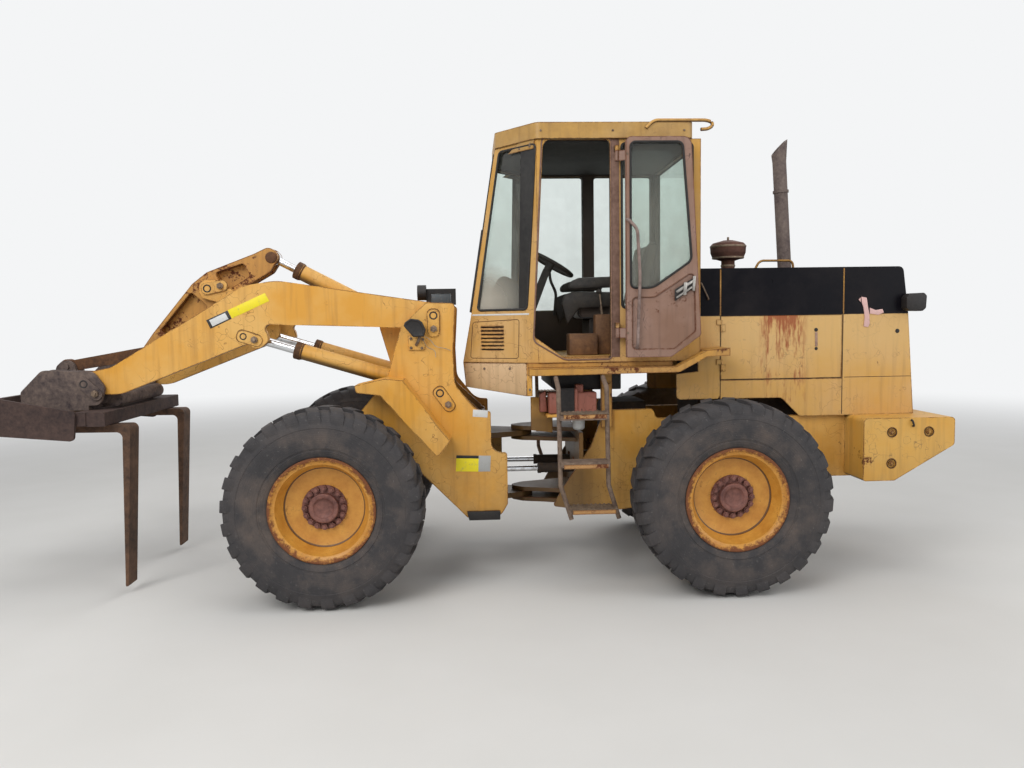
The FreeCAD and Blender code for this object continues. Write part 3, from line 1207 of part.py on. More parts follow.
# Work lamp on the right tower: bracket, blank plate and round lamp.
def make_lamp_bracket():
    body = new_body("lamp_bracket")
    top = size.boom_pin_z + 93
    outline = ((500, top), (540, top), (540, top + 90), (700, top + 90), (700, top), (740, top), (740, top + 130),
               (500, top + 130))
    add_slab(body, "frame", SIDE, [outline], "-(Sizes.tower_inner + Sizes.tower_plate)", "-Sizes.tower_inner")
    add_slab(body, "lamp", FRONT, [circle(-size.tower_inner - 15, top + 100, 62)], "740", "810")
    place(body)


make_axle("front_axle", size.half_base)
make_axle("rear_axle", -size.half_base)
for x, end in ((size.half_base, "front"), (-size.half_base, "rear")):
    for side, hand in ((1, "left"), (-1, "right")):
        make_rim(f"rim_{end}_{hand}", x, side)

make_front_frame()
make_tower_pins()
make_fenders()
make_lamp_bracket()
make_boom()
make_boom_pins()
make_bellcrank()
make_tilt_link()
make_coupler()
make_carriage()
make_forks()

lift_base = (size.lift_base_x, size.lift_base_z)
lift_end = (size.lift_rod_x, size.lift_rod_z)
for side, hand in ((1, "left"), (-1, "right")):
    make_barrel(f"lift_barrel_{hand}", lift_base, lift_end, side * size.cylinder_y,
                size.lift_barrel_radius, size.lift_barrel_end, size.pin_radius)
    make_rod(f"lift_rod_{hand}", lift_base, lift_end, side * size.cylinder_y,
             size.lift_rod_radius, 370, size.eye_radius)
    make_steering(side, hand)
tilt_base = (size.tilt_base_x, size.tilt_base_z)
tilt_end = (size.crank_top_x, size.crank_top_z)
make_barrel("tilt_barrel", tilt_base, tilt_end, 0, size.tilt_barrel_radius, size.tilt_barrel_end, size.pin_radius)
make_rod("tilt_rod", tilt_base, tilt_end, 0, size.tilt_rod_radius, 200, size.eye_radius)

make_rear_frame()
make_counterweight()
make_engine()
make_transmission()
make_hood()
make_shrouds()
make_engine_door(1, "left")
make_engine_door(-1, "right")
make_cab_frame()
make_cab_glass()
make_cab_roof()
make_cab_door()
make_seat()
make_console()
make_platforms()
make_ladders()
make_stack()
make_precleaner()

save_nodes()
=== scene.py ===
import bpy
import math
from functools import partial
from mathutils import Matrix, Vector


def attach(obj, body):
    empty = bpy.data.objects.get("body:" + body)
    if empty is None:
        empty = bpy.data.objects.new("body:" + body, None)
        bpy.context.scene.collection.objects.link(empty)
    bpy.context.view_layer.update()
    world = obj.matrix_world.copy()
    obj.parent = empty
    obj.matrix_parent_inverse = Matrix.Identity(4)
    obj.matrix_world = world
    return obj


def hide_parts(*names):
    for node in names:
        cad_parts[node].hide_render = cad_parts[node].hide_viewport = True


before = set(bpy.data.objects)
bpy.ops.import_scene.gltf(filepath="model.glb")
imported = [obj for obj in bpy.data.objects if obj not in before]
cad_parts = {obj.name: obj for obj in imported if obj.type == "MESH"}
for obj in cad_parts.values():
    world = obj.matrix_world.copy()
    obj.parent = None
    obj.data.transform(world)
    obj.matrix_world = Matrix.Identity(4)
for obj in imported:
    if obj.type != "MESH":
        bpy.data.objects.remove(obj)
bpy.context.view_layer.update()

# The yard view: a pale concrete floor, a white backdrop and large soft lamps,
# seen from the left side at a standing person's height, six metres away.
hitch_x = -0.3975


def linear(code):
    """Hex colour as painted, turned to linear light."""
    parts = [int(code[i:i + 2], 16) / 255 for i in (1, 3, 5)]
    return tuple(c / 12.92 if c <= 0.04045 else ((c + 0.055) / 1.055) ** 2.4 for c in parts) + (1.0,)


def add_node(tree, kind, inputs=None, **settings):
    """One node; an input is a value, a hex colour, a socket, or a node for its first live output."""
    made = tree.nodes.new("ShaderNode" + kind)
    for name, value in settings.items():
        setattr(made, name, value)
    for name, value in (inputs or {}).items():
        if isinstance(value, bpy.types.Node):
            value = next(out for out in value.outputs if out.enabled)
        if isinstance(value, bpy.types.NodeSocket):
            tree.links.new(value, made.inputs[name])
        else:
            made.inputs[name].default_value = linear(value) if isinstance(value, str) else value
    return made


def new_material(name):
    """Empty material, the function that adds its nodes, and the place on the object."""
    material = bpy.data.materials.new(name)
    material.use_nodes = True
    material.node_tree.nodes.clear()
    node = partial(add_node, material.node_tree)
    return material, node, node("TexCoord").outputs["Object"]


scene = bpy.context.scene
scene.view_settings.view_transform = "Standard"
world = bpy.data.worlds.new("studio_sky")
scene.world = world
world.use_nodes = True
world.node_tree.nodes.clear()
node = partial(add_node, world.node_tree)
path = node("LightPath")
seen = node("Math", {0: path.outputs["Is Camera Ray"], 1: path.outputs["Is Glossy Ray"]}, operation="MAXIMUM")
seen = node("Math", {0: seen, 1: path.outputs["Is Transmission Ray"]}, operation="MAXIMUM")
dome = node("Background", {"Color": "#EEF1F6", "Strength": 0.42})
back = node("Background", {"Color": "#F4F5F6", "Strength": 1.0})
node("OutputWorld", {"Surface": node("MixShader", {0: seen, 1: dome, 2: back})})

bpy.ops.mesh.primitive_plane_add(size=60, location=(0, 0, 0))
floor = bpy.context.object
floor.name = "studio_floor"
material, node, where = new_material("pale_concrete")
mottle = node("TexNoise", {"Vector": where, "Scale": 1.4, "Detail": 5.0})
tone = node("Mix", {0: mottle, 6: "#D6D4CF", 7: "#DFDDD9"}, data_type="RGBA")
matt = node("BsdfPrincipled", {"Base Color": tone, "Roughness": 0.9})
# Far off, the floor that the camera sees runs out into the backdrop.
away = node("VectorMath", {0: where}, operation="LENGTH")
far = node("MapRange", {0: away, 1: 6.0, 2: 18.0}, interpolation_type="SMOOTHSTEP")
seen = node("Math", {0: far, 1: node("LightPath").outputs["Is Camera Ray"]}, operation="MULTIPLY")
haze = node("Emission", {"Color": "#F4F5F6"})
node("OutputMaterial", {"Surface": node("MixShader", {0: seen, 1: matt, 2: haze})})
floor.data.materials.append(material)

lamps = (
    # name, place, size, power in watts, what it points at
    ("key_lamp", (4.5, 8.0, 7.5), 6.0, 640, (0, 0, 1.2)),
    ("fill_lamp", (-7.5, 5.5, 4.0), 6.0, 190, (0, 0, 1.2)),
    ("rear_lamp", (-3.0, -8.0, 7.0), 6.0, 260, (0, 0, 1.4)),
    ("top_lamp", (0.0, 0.5, 9.5), 7.0, 190, (0, 0, 0)),
)
for name, spot, wide, power, aim in lamps:
    light = bpy.data.lights.new(name, "AREA")
    light.size = wide
    light.energy = power
    lamp = bpy.data.objects.new(name, light)
    lamp.location = spot
    lamp.rotation_euler = (Vector(aim) - Vector(spot)).to_track_quat("-Z", "Y").to_euler()
    scene.collection.objects.link(lamp)

eye = bpy.data.cameras.new("photo_camera")
eye.sensor_width = 36
eye.lens = 36 * 802.72 / 1024
camera = bpy.data.objects.new("photo_camera", eye)
camera.location = (0.3899 + hitch_x, 6.3007, 1.8797)
camera.rotation_euler = [math.radians(a) for a in (85.6107, 0.8512, 177.0069)]
scene.collection.objects.link(camera)
scene.camera = camera


# Front frame, towers and arms: flame-cut steel plate, welded and painted in
# construction yellow that has chalked in the sun, with oily dirt low down,
# brown rust where stones have chipped it, and painted shade under faces that look down.
def weathered_enamel(name, fresh, faded, grime, rust_level=0.66, dirt_top=0.9, gloss=0.42,
                    oil=0.85):
    """Old enamel: chalky patches, rain streaks, grime towards the ground, rust chips, painted shade on faces
    that look down.
    """
    material, node, where = new_material(name)
    patches = node("TexNoise", {"Vector": where, "Scale": 2.2, "Detail": 6.0, "Roughness": 0.6})
    fade = node("MapRange", {0: patches, 1: 0.36, 2: 0.66})
    paint = node("Mix", {0: fade, 6: fresh, 7: faded}, data_type="RGBA")
    # Rain streaks run down the plate, some 20 mm wide and half a metre long.
    tall = node("Mapping", {"Vector": where, "Scale": (26.0, 26.0, 1.6)})
    runs = node("TexNoise", {"Vector": tall, "Scale": 1.0, "Detail": 5.0})
    streak = node("MapRange", {0: runs, 1: 0.50, 2: 0.78, 4: 0.42})
    # Fine cracks in the old paint, here and there, in cells of a hand's length.
    groups = node("TexNoise", {"Vector": where, "Scale": 4.5, "Detail": 3.0})
    bent = node("VectorMath", {0: groups.outputs["Color"], 1: where}, operation="ADD")
    cells = node("TexVoronoi", {"Vector": bent, "Scale": 4.0}, feature="DISTANCE_TO_EDGE")
    split = node("MapRange", {0: cells.outputs["Distance"], 1: 0.014, 2: 0.005})
    somewhere = node("MapRange", {0: patches, 1: 0.47, 2: 0.56, 4: 0.85})
    crack = node("Math", {0: split, 1: somewhere}, operation="MULTIPLY")
    marks = node("Math", {0: streak, 1: crack}, operation="MAXIMUM")
    streaked = node("Mix", {0: marks, 6: paint, 7: grime}, data_type="RGBA")
    # Splashed soil thickens towards the ground.
    place = node("SeparateXYZ", {0: where})
    low = node("MapRange", {0: place.outputs["Z"], 1: dirt_top, 2: 0.35, 3: 0.0, 4: 0.5})
    clots = node("TexNoise", {"Vector": where, "Scale": 9.0, "Detail": 8.0, "Roughness": 0.7})
    soil = node("Math", {0: low, 1: clots}, operation="MULTIPLY")
    soil = node("Math", {0: soil, 1: 1.5}, operation="MULTIPLY", use_clamp=True)
    soiled = node("Mix", {0: soil, 6: streaked, 7: "#6B4A2A"}, data_type="RGBA")
    # Chips of 2 to 15 mm, grouped where the noise of a hand's breadth is high.
    chips = node("TexNoise", {"Vector": where, "Scale": 34.0, "Detail": 9.0, "Roughness": 0.72})
    both = node("Math", {0: chips, 1: groups}, operation="ADD")
    half = node("Math", {0: both, 1: 0.5}, operation="MULTIPLY")
    # Corners and edges chip first: there the rounded normal leaves the face's own.
    rounded = node("Bevel", {"Radius": 0.013}, samples=4)
    face = node("NewGeometry").outputs["Normal"]
    level = node("VectorMath", {0: rounded, 1: face}, operation="DOT_PRODUCT")
    edge = node("MapRange", {0: level, 1: 0.998, 2: 0.93, 4: 0.19})
    half = node("Math", {0: half, 1: edge}, operation="ADD")
    chip = node("MapRange", {0: half, 1: rust_level - 0.03, 2: rust_level + 0.01})
    flecks = node("Mix", {0: chips, 6: "#7A3E1C", 7: "#3C2417"}, data_type="RGBA")
    # Between the side plates, low down, oil and soil have caked on.
    width = node("Math", {0: place.outputs["Y"]}, operation="ABSOLUTE")
    within = node("MapRange", {0: width, 1: 0.498, 2: 0.440})
    below = node("MapRange", {0: place.outputs["Z"], 1: 1.36, 2: 1.16, 4: oil})
    cake_and_shade = node("Math", {0: within, 1: below}, operation="MULTIPLY")
    hinge = node("MapRange", {0: place.outputs["X"], 1: -1.05, 2: -0.82})
    cake_and_shade = node("Math", {0: cake_and_shade, 1: hinge}, operation="MULTIPLY")
    # Faces that look down are darkened too: some dirt, and painted shade under them.
    turned_down = node("SeparateXYZ", {0: face})
    underside_shade = node("MapRange", {0: turned_down.outputs["Z"], 1: -0.15, 2: -0.6, 4: 0.75})
    cake_and_shade = node("Math", {0: cake_and_shade, 1: underside_shade}, operation="MAXIMUM")
    oily_and_shaded = node("Mix", {0: cake_and_shade, 6: soiled, 7: "#251A12"}, data_type="RGBA")
    final = node("Mix", {0: chip, 6: oily_and_shaded, 7: flecks}, data_type="RGBA")
    dull = node("MapRange", {0: patches, 1: 0.3, 2: 0.7, 3: gloss, 4: gloss + 0.22})
    rough = node("Math", {0: dull, 1: chip}, operation="MAXIMUM")
    pits = node("Math", {0: clots, 1: chip}, operation="SUBTRACT")
    bump = node("Bump", {"Height": pits, "Strength": 0.18, "Distance": 0.002})
    coat = node("BsdfPrincipled", {"Base Color": final, "Roughness": rough, "Normal": bump})
    node("OutputMaterial", {"Surface": coat})
    return material


def finish_node(material, *names):
    """Gives CAD nodes their finish."""
    for name in names:
        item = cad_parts[name]
        item.data.materials.clear()
        item.data.materials.append(material)


machine_yellow = weathered_enamel("machine_yellow", "#D89A34", "#DEAE60", "#94622A", dirt_top=1.3)
finish_node(machine_yellow, "front_frame", "boom", "rear_frame", "fender_brackets", "lift_barrel_left",
            "lift_barrel_right", "tilt_barrel", "platforms")


def clear_selection():
    if bpy.context.object and bpy.context.object.mode == "EDIT":
        bpy.ops.object.mode_set(mode="OBJECT")
    bpy.ops.object.select_all(action="DESELECT")


def draw_line(name, points, closed=False):
    """Chain of edges through the points, each one extruded from the last; left in edit mode."""
    clear_selection()
    bpy.ops.mesh.primitive_plane_add(size=1, location=(0, 0, 0))
    item = bpy.context.object
    item.name = name
    bpy.ops.object.mode_set(mode="EDIT")
    bpy.ops.mesh.select_mode(type="VERT")
    bpy.ops.mesh.select_all(action="SELECT")
    bpy.ops.mesh.merge(type="CENTER")
    bpy.ops.transform.translate(value=points[0])
    for before, after in zip(points, points[1:]):
        bpy.ops.mesh.extrude_vertices_move(
            TRANSFORM_OT_translate={"value": [b - a for a, b in zip(before, after)]})
    if closed:
        bpy.ops.mesh.extrude_vertices_move(
            TRANSFORM_OT_translate={"value": [b - a for a, b in zip(points[-1], points[0])]})
        bpy.ops.mesh.select_all(action="SELECT")
        bpy.ops.mesh.remove_doubles(threshold=1e-5)
    return item


def make_active(item):
    clear_selection()
    item.select_set(True)
    bpy.context.view_layer.objects.active = item


def apply_modifiers(item):
    make_active(item)
    for modifier in list(item.modifiers):
        bpy.ops.object.modifier_apply(modifier=modifier.name)


def soften(item, width, steps=2):
    """Small rounded edges, as rolled and ground steel has."""
    bevel = item.modifiers.new("edge", "BEVEL")
    bevel.width = width
    bevel.segments = steps
    bevel.angle_limit = math.radians(30)
    apply_modifiers(item)
    bpy.ops.object.shade_smooth_by_angle(angle=math.radians(32))


def cut_plate(name, outline, along, width=0.0):
    """Plate of an outline, extruded by a vector, with its edges softened."""
    item = draw_line(name, outline, closed=True)
    bpy.ops.mesh.select_all(action="SELECT")
    bpy.ops.mesh.edge_face_add()
    bpy.ops.mesh.extrude_region_move(TRANSFORM_OT_translate={"value": along})
    bpy.ops.mesh.select_all(action="SELECT")
    bpy.ops.mesh.normals_make_consistent(inside=False)
    bpy.ops.object.mode_set(mode="OBJECT")
    if width:
        soften(item, width)
    return item


def turned(name, profile, centre, axis, steps):
    """Profile spun a full turn round an axis, as on a lathe."""
    item = draw_line(name, profile)
    bpy.ops.mesh.select_all(action="SELECT")
    bpy.ops.mesh.spin(steps=steps, angle=math.tau, center=centre, axis=axis)
    bpy.ops.mesh.select_all(action="SELECT")
    bpy.ops.mesh.remove_doubles(threshold=1e-5)
    bpy.ops.mesh.normals_make_consistent(inside=False)
    make_active(item)
    bpy.ops.object.shade_smooth_by_angle(angle=math.radians(35))
    return item


def turned_across(name, profile, x, z, steps):
    """Profile of radius and y, spun round a line across the machine."""
    return turned(name, [(x + radius, y, z) for radius, y in profile], (x, 0, z), (0, 1, 0), steps)


def join_all(name, items):
    clear_selection()
    for item in items:
        item.select_set(True)
    bpy.context.view_layer.objects.active = items[0]
    if len(items) > 1:
        bpy.ops.object.join()
    items[0].name = name
    return items[0]


def finish_piece(item, material, body, stands_for=()):
    """Material and body of a finished piece; hides the CAD nodes it stands for."""
    item.data.materials.clear()
    item.data.materials.append(material)
    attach(item, body)
    for name in stands_for:
        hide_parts(name)
    return item


def copied(item, change):
    """Copy of a piece with its own mesh, moved by a matrix."""
    twin = item.copy()
    twin.data = item.data.copy()
    twin.data.transform(change)
    if change.to_3x3().determinant() < 0:
        twin.data.flip_normals()
    scene.collection.objects.link(twin)
    return twin


both_hands = ((1, "left"), (-1, "right"))
mirror = Matrix.Scale(-1, 4, (0, 1, 0))


# Tyres: 17.5-25 bias-ply loader tyres, worn black rubber gone grey, with
# brown soil on the sidewalls and a bar tread whose lugs reach the shoulders.
wheel_y = 0.9
wheel_z = 0.67
axles = (("front", 1.38 + hitch_x), ("rear", -1.38 + hitch_x))


def dusty_rubber(name, centre_x):
    material, node, where = new_material(name)
    hub = node("Mapping", {"Vector": where, "Location": (-centre_x, 0, -wheel_z), "Scale": (1.0, 0.0, 1.0)})
    radius = node("VectorMath", {0: hub}, operation="LENGTH")
    cloud = node("TexNoise", {"Vector": where, "Scale": 5.0, "Detail": 7.0, "Roughness": 0.65})
    # Soil holds on the flank between the bead and the shoulder.
    ring = node("MapRange", {0: radius, 1: 0.6, 2: 0.47, 3: 0.10, 4: 0.55})
    held = node("MapRange", {0: cloud, 1: 0.42, 2: 0.68})
    soil = node("Math", {0: ring, 1: held}, operation="MULTIPLY")
    rubber = node("Mix", {0: cloud, 6: "#1B1A1C", 7: "#4C494A"}, data_type="RGBA")
    dusted = node("Mix", {0: soil, 6: rubber, 7: "#6A5B50"}, data_type="RGBA")
    fine = node("TexNoise", {"Vector": where, "Scale": 60.0, "Detail": 8.0, "Roughness": 0.7})
    scuff = node("MapRange", {0: fine, 1: 0.60, 2: 0.74, 4: 0.45})
    worn = node("Mix", {0: scuff, 6: dusted, 7: "#8E8A87"}, data_type="RGBA")
    # Moulded rings of the sidewall, 14 mm apart, show as faint ridges.
    waves = node("Math", {0: radius, 1: 448.0}, operation="MULTIPLY")
    ridge = node("Math", {0: waves}, operation="SINE")
    height = node("Math", {0: ridge, 1: 0.12, 2: fine}, operation="MULTIPLY_ADD")
    bump = node("Bump", {"Height": height, "Strength": 0.5, "Distance": 0.004})
    skin = node("BsdfPrincipled", {"Base Color": worn, "Roughness": 0.82, "Normal": bump})
    node("OutputMaterial", {"Surface": skin})
    return material


tyre_profile = (
    # radius, offset outwards from the middle of the tread
    (0.319, 0.150), (0.354, 0.179), (0.372, 0.196), (0.398, 0.206), (0.402, 0.203), (0.412, 0.2045),
    (0.416, 0.210), (0.480, 0.2215), (0.530, 0.2205), (0.548, 0.219), (0.551, 0.2215), (0.560, 0.2205),
    (0.580, 0.213), (0.612, 0.204), (0.630, 0.194), (0.640, 0.176), (0.643, 0.10), (0.645, 0.0))
lug_sides = (
    # radius and offset of the lug's crest and its foot, from middle to shoulder
    (0.669, 0.010), (0.668, 0.090), (0.662, 0.160), (0.652, 0.198), (0.630, 0.210), (0.600, 0.214))
lug_count = 26


def tyre_at(name, centre, material, body, node_name):
    cx, cy, cz = centre
    flank = [(r, cy + w) for r, w in tyre_profile]
    flank += [(r, cy - w) for r, w in reversed(tyre_profile[:-1])]
    carcass = turned_across(f"{name}_carcass", flank, cx, cz, 120)
    # One bar of the tread: crest points, leaning back towards the shoulder.
    bar = draw_line(f"{name}_lug", [(cx + r, cy + w, cz) for r, w in lug_sides])
    for way in ((0, 0, 0.082), (-0.045, 0, 0)):
        bpy.ops.mesh.select_all(action="SELECT")
        bpy.ops.mesh.extrude_region_move(TRANSFORM_OT_translate={"value": way})
    bpy.ops.mesh.select_all(action="SELECT")
    bpy.ops.mesh.normals_make_consistent(inside=False)
    bpy.ops.object.mode_set(mode="OBJECT")
    for corner in bar.data.vertices:
        out = abs(corner.co.y - cy) / 0.2
        corner.co.z += 0.05 * out - 0.041
        corner.co.x -= abs(corner.co.z - cz) ** 2 * 0.75
    soften(bar, 0.006, 1)
    lugs = []
    home = Matrix.Translation(centre)
    for side, shift in ((1, 0), (-1, 0.5)):
        flip = Matrix.Scale(side, 4, (0, 1, 0))
        for step in range(lug_count):
            turn = Matrix.Rotation(math.tau * (step + shift) / lug_count, 4, "Y")
            lugs.append(copied(bar, home @ turn @ flip @ home.inverted()))
    bpy.data.objects.remove(bar)
    tyre = join_all(name, [carcass] + lugs)
    return finish_piece(tyre, material, body, (node_name,))


for end, wheel_x in axles:
    rubber = dusty_rubber(f"dusty_rubber_{end}", wheel_x)
    for side, hand in both_hands:
        tyre_at(f"{end}_{hand}_tyre", (wheel_x, side * wheel_y, wheel_z), rubber, f"wheel_{end}_{hand}_body",
                f"tyre_{end}_{hand}")


# Wheels: pressed one-piece discs for 25 inch tyres, yellow enamel gone orange
# with rust at the flange and the bolt circle, and a bare rusty hub cover held
# by a ring of nuts.
def wheel_enamel(name, centre_x):
    material, node, where = new_material(name)
    hub = node("Mapping", {"Vector": where, "Location": (-centre_x, 0, -wheel_z), "Scale": (1.0, 0.0, 1.0)})
    radius = node("VectorMath", {0: hub}, operation="LENGTH")
    cloud = node("TexNoise", {"Vector": where, "Scale": 7.0, "Detail": 8.0, "Roughness": 0.7})
    fine = node("TexNoise", {"Vector": where, "Scale": 45.0, "Detail": 8.0, "Roughness": 0.7})
    fade = node("MapRange", {0: cloud, 1: 0.35, 2: 0.65})
    paint = node("Mix", {0: fade, 6: "#B87B2C", 7: "#D39A42"}, data_type="RGBA")
    flange = node("MapRange", {0: radius, 1: 0.3, 2: 0.35, 4: 0.42})
    inner = node("MapRange", {0: radius, 1: 0.17, 2: 0.1, 4: 0.4})
    rings = node("Math", {0: flange, 1: inner}, operation="MAXIMUM")
    grain = node("Math", {0: cloud, 1: fine}, operation="ADD")
    sum_up = node("Math", {0: rings, 1: grain}, operation="ADD")
    rust = node("MapRange", {0: sum_up, 1: 1.14, 2: 1.36})
    brown = node("Mix", {0: fine, 6: "#4F2E1F", 7: "#8A5028"}, data_type="RGBA")
    final = node("Mix", {0: rust, 6: paint, 7: brown}, data_type="RGBA")
    # A dark ring where the disc meets the rim: painted shade in the corner.
    corner = node("Math", {0: radius, 1: 0.2655, 2: 0.0045}, operation="COMPARE")
    corner_shaded = node("Mix", {0: corner, 6: final, 7: "#65431F"}, data_type="RGBA")
    rough = node("MapRange", {0: rust, 3: 0.42, 4: 0.85})
    bump = node("Bump", {"Height": fine, "Strength": 0.15, "Distance": 0.002})
    coat = node("BsdfPrincipled", {"Base Color": corner_shaded, "Roughness": rough, "Normal": bump})
    node("OutputMaterial", {"Surface": coat})
    return material


def rusty_steel(name, dark, light, bump_size=30.0, rough=0.8, metal=0.25):
    """Bare steel under an even coat of rust: mottled, dry and pitted."""
    material, node, where = new_material(name)
    cloud = node("TexNoise", {"Vector": where, "Scale": 6.0, "Detail": 9.0, "Roughness": 0.68})
    pits = node("TexNoise", {"Vector": where, "Scale": bump_size, "Detail": 7.0, "Roughness": 0.7})
    mix = node("Math", {0: cloud, 1: pits}, operation="ADD")
    tone = node("MapRange", {0: mix, 1: 0.75, 2: 1.25})
    colour = node("Mix", {0: tone, 6: dark, 7: light}, data_type="RGBA")
    bump = node("Bump", {"Height": pits, "Strength": 0.3, "Distance": 0.003})
    skin = node("BsdfPrincipled", {
        "Base Color": colour, "Metallic": metal, "Roughness": rough, "Normal": bump})
    node("OutputMaterial", {"Surface": skin})
    return material


hub_rust = rusty_steel("hub_rust", "#5A3833", "#8E6054", rough=0.6)
rim_profile = (
    # radius, offset outwards from the middle of the tread
    (0.353, 0.178), (0.353, 0.189), (0.345, 0.1925), (0.334, 0.190), (0.324, 0.178), (0.306, 0.172),
    (0.298, 0.150), (0.286, 0.110), (0.276, 0.088), (0.270, 0.076), (0.2685, 0.066), (0.262, 0.062),
    (0.150, 0.062), (0.150, 0.041), (0.262, 0.041), (0.290, -0.060), (0.300, -0.189), (0.353, -0.189),
    (0.353, -0.178), (0.3185, -0.154), (0.3185, 0.154), (0.353, 0.178))
hub_profile = (
    (0.0, 0.096), (0.040, 0.097), (0.058, 0.101), (0.066, 0.108), (0.069, 0.113), (0.073, 0.115),
    (0.092, 0.115), (0.0975, 0.111), (0.099, 0.072), (0.107, 0.067), (0.148, 0.0645), (0.1505, 0.061),
    (0.1515, 0.012), (0.0, 0.012))


def choose_faces(item, wanted):
    """Leaves the item in edit mode with only the wanted faces selected."""
    bpy.ops.object.mode_set(mode="EDIT")
    bpy.ops.mesh.select_mode(type="FACE")
    bpy.ops.mesh.select_all(action="DESELECT")
    bpy.ops.object.mode_set(mode="OBJECT")
    for face in item.data.polygons:
        face.select = wanted(face.normal)
    bpy.ops.object.mode_set(mode="EDIT")


def nut_at(name, centre, radius, height, facing=1):
    """Hexagon nut on its stud, pointing along Y."""
    clear_selection()
    cx, cy, cz = centre
    bpy.ops.mesh.primitive_cylinder_add(vertices=6, radius=radius, depth=height,
                                        location=(cx, cy + facing * height / 2, cz),
                                        rotation=(math.pi / 2, 0, 0))
    item = bpy.context.object
    item.name = name
    bpy.ops.object.transform_apply(location=True, rotation=True)
    choose_faces(item, lambda normal: normal.y * facing > 0.9)
    bpy.ops.mesh.inset(thickness=radius * 0.4)
    bpy.ops.mesh.extrude_region_move(TRANSFORM_OT_translate={"value": (0, facing * radius * 0.45, 0)})
    bpy.ops.mesh.select_mode(type="VERT")
    bpy.ops.object.mode_set(mode="OBJECT")
    return item


nut_count = 16
for end, wheel_x in axles:
    enamel = wheel_enamel(f"wheel_enamel_{end}", wheel_x)
    for side, hand in both_hands:
        body = f"wheel_{end}_{hand}_body"
        profile = [(r, side * (wheel_y + w)) for r, w in rim_profile]
        disc = turned_across(f"{end}_{hand}_disc", profile, wheel_x, wheel_z, 96)
        finish_piece(disc, enamel, body)
        profile = [(r, side * (wheel_y + w)) for r, w in hub_profile]
        ring = [turned_across(f"{end}_{hand}_hub", profile, wheel_x, wheel_z, 48)]
        nut = nut_at("wheel_nut", (wheel_x + 0.130, side * 0.9635, wheel_z), 0.0205, 0.026, side)
        home = Matrix.Translation((wheel_x, side * wheel_y, wheel_z))
        for step in range(nut_count):
            turn = Matrix.Rotation(math.tau * step / nut_count, 4, "Y")
            ring.append(copied(nut, home @ turn @ home.inverted()))
        bpy.data.objects.remove(nut)
        cover = join_all(f"{end}_{hand}_hub", ring)
        finish_piece(cover, hub_rust, body, (f"rim_{end}_{hand}",))


# Fastenings and plates of the front frame: hexagon bolts gone brown, blank
# film plates where notices were stuck, and the wear bar under its heel.
bolt_steel = rusty_steel("bolt_steel", "#4B3B30", "#A08B76", bump_size=60.0, rough=0.6, metal=0.5)
black_iron = rusty_steel("black_iron", "#0E0D0E", "#2A2523", bump_size=40.0, rough=0.6, metal=0.1)
# Near-black lines of grime, also used as painted shade round the pin flags.
grime_and_shade_line = rusty_steel("grime_and_shade_line", "#2A1B10", "#5A3A20", rough=0.9, metal=0.0)


def printed_film(name, colour):
    """Stuck-on film, chalked and scuffed, with nothing printed on it."""
    material, node, where = new_material(name)
    scuff = node("TexNoise", {"Vector": where, "Scale": 50.0, "Detail": 8.0, "Roughness": 0.7})
    worn = node("MapRange", {0: scuff, 1: 0.55, 2: 0.72, 4: 0.5})
    tone = node("Mix", {0: worn, 6: colour, 7: "#8F8577"}, data_type="RGBA")
    film = node("BsdfPrincipled", {"Base Color": tone, "Roughness": 0.5})
    node("OutputMaterial", {"Surface": film})
    return material


def side_view(corners, y):
    """Corners in x from the hitch and z, set on a plane."""
    return [(x + hitch_x, y, z) for x, z in corners]


def oblong(x0, x1, z0, z1):
    return ((x0, z0), (x1, z0), (x1, z1), (x0, z1))


def fit_plate(name, corners, y, thick, width, material, body="rear_body"):
    """Finished plate, from its face at y outwards."""
    plate = cut_plate(name, side_view(corners, y), (0, thick, 0), width)
    return finish_piece(plate, material, body)


def fit_plates(name, corners, y, thick, width, material, body="rear_body"):
    """The same plate on both sides of the machine."""
    for side, hand in both_hands:
        fit_plate(f"{name}_{hand}", corners, side * y, side * thick, width, material,
                  body.format(hand))


def fit_bolt(name, place, radius, height, side=1, body="rear_body"):
    return finish_piece(nut_at(name, place, radius, height, side), bolt_steel, body)


film_white = printed_film("film_white", "#D3D4D2")
film_yellow = printed_film("film_yellow", "#EEDB1E")
film_black = printed_film("film_black", "#1A1815")
film_grey = printed_film("film_grey", "#A9A9A6")
tower_films = (
    # name, corners in x and z from the hitch, film
    ("notice_small", ((0.379, 1.257), (0.272, 1.248), (0.276, 1.196), (0.383, 1.205)), film_white),
    ("notice_head", ((0.506, 0.926), (0.345, 0.920), (0.345, 0.899), (0.507, 0.905)), film_black),
    ("notice_wide", ((0.507, 0.904), (0.345, 0.898), (0.349, 0.803), (0.512, 0.809)), film_yellow),
    ("notice_side", ((0.344, 0.920), (0.257, 0.917), (0.263, 0.802), (0.348, 0.803)), film_grey),
)
arm_films = (
    # name, corners, film, height over the arm's side
    ("arm_band", ((2.103, 1.996), (1.840, 2.114), (1.811, 2.057), (2.076, 1.937)), film_yellow, 0.0002),
    ("arm_block", ((2.257, 1.927), (2.106, 1.994), (2.079, 1.935), (2.229, 1.866)), film_black, 0.0002),
    ("arm_patch", ((2.236, 1.926), (2.123, 1.977), (2.101, 1.934), (2.214, 1.882)), film_white, 0.0008),
)
for name, corners, film in tower_films:
    fit_plate(name, corners, 0.5302, 0.0012, 0.0004, film, "front_body")
for name, corners, film, over in arm_films:
    fit_plate(name, corners, 0.485 + over, 0.0012, 0.0004, film, "boom_body")

wear_bar = fit_plate("wear_bar", ((0.435, 0.513), (0.195, 0.513), (0.195, 0.449), (0.421, 0.449)),
                     0.5305, 0.023, 0.003, black_iron, "front_body")
finish_piece(copied(wear_bar, mirror), black_iron, "front_body")


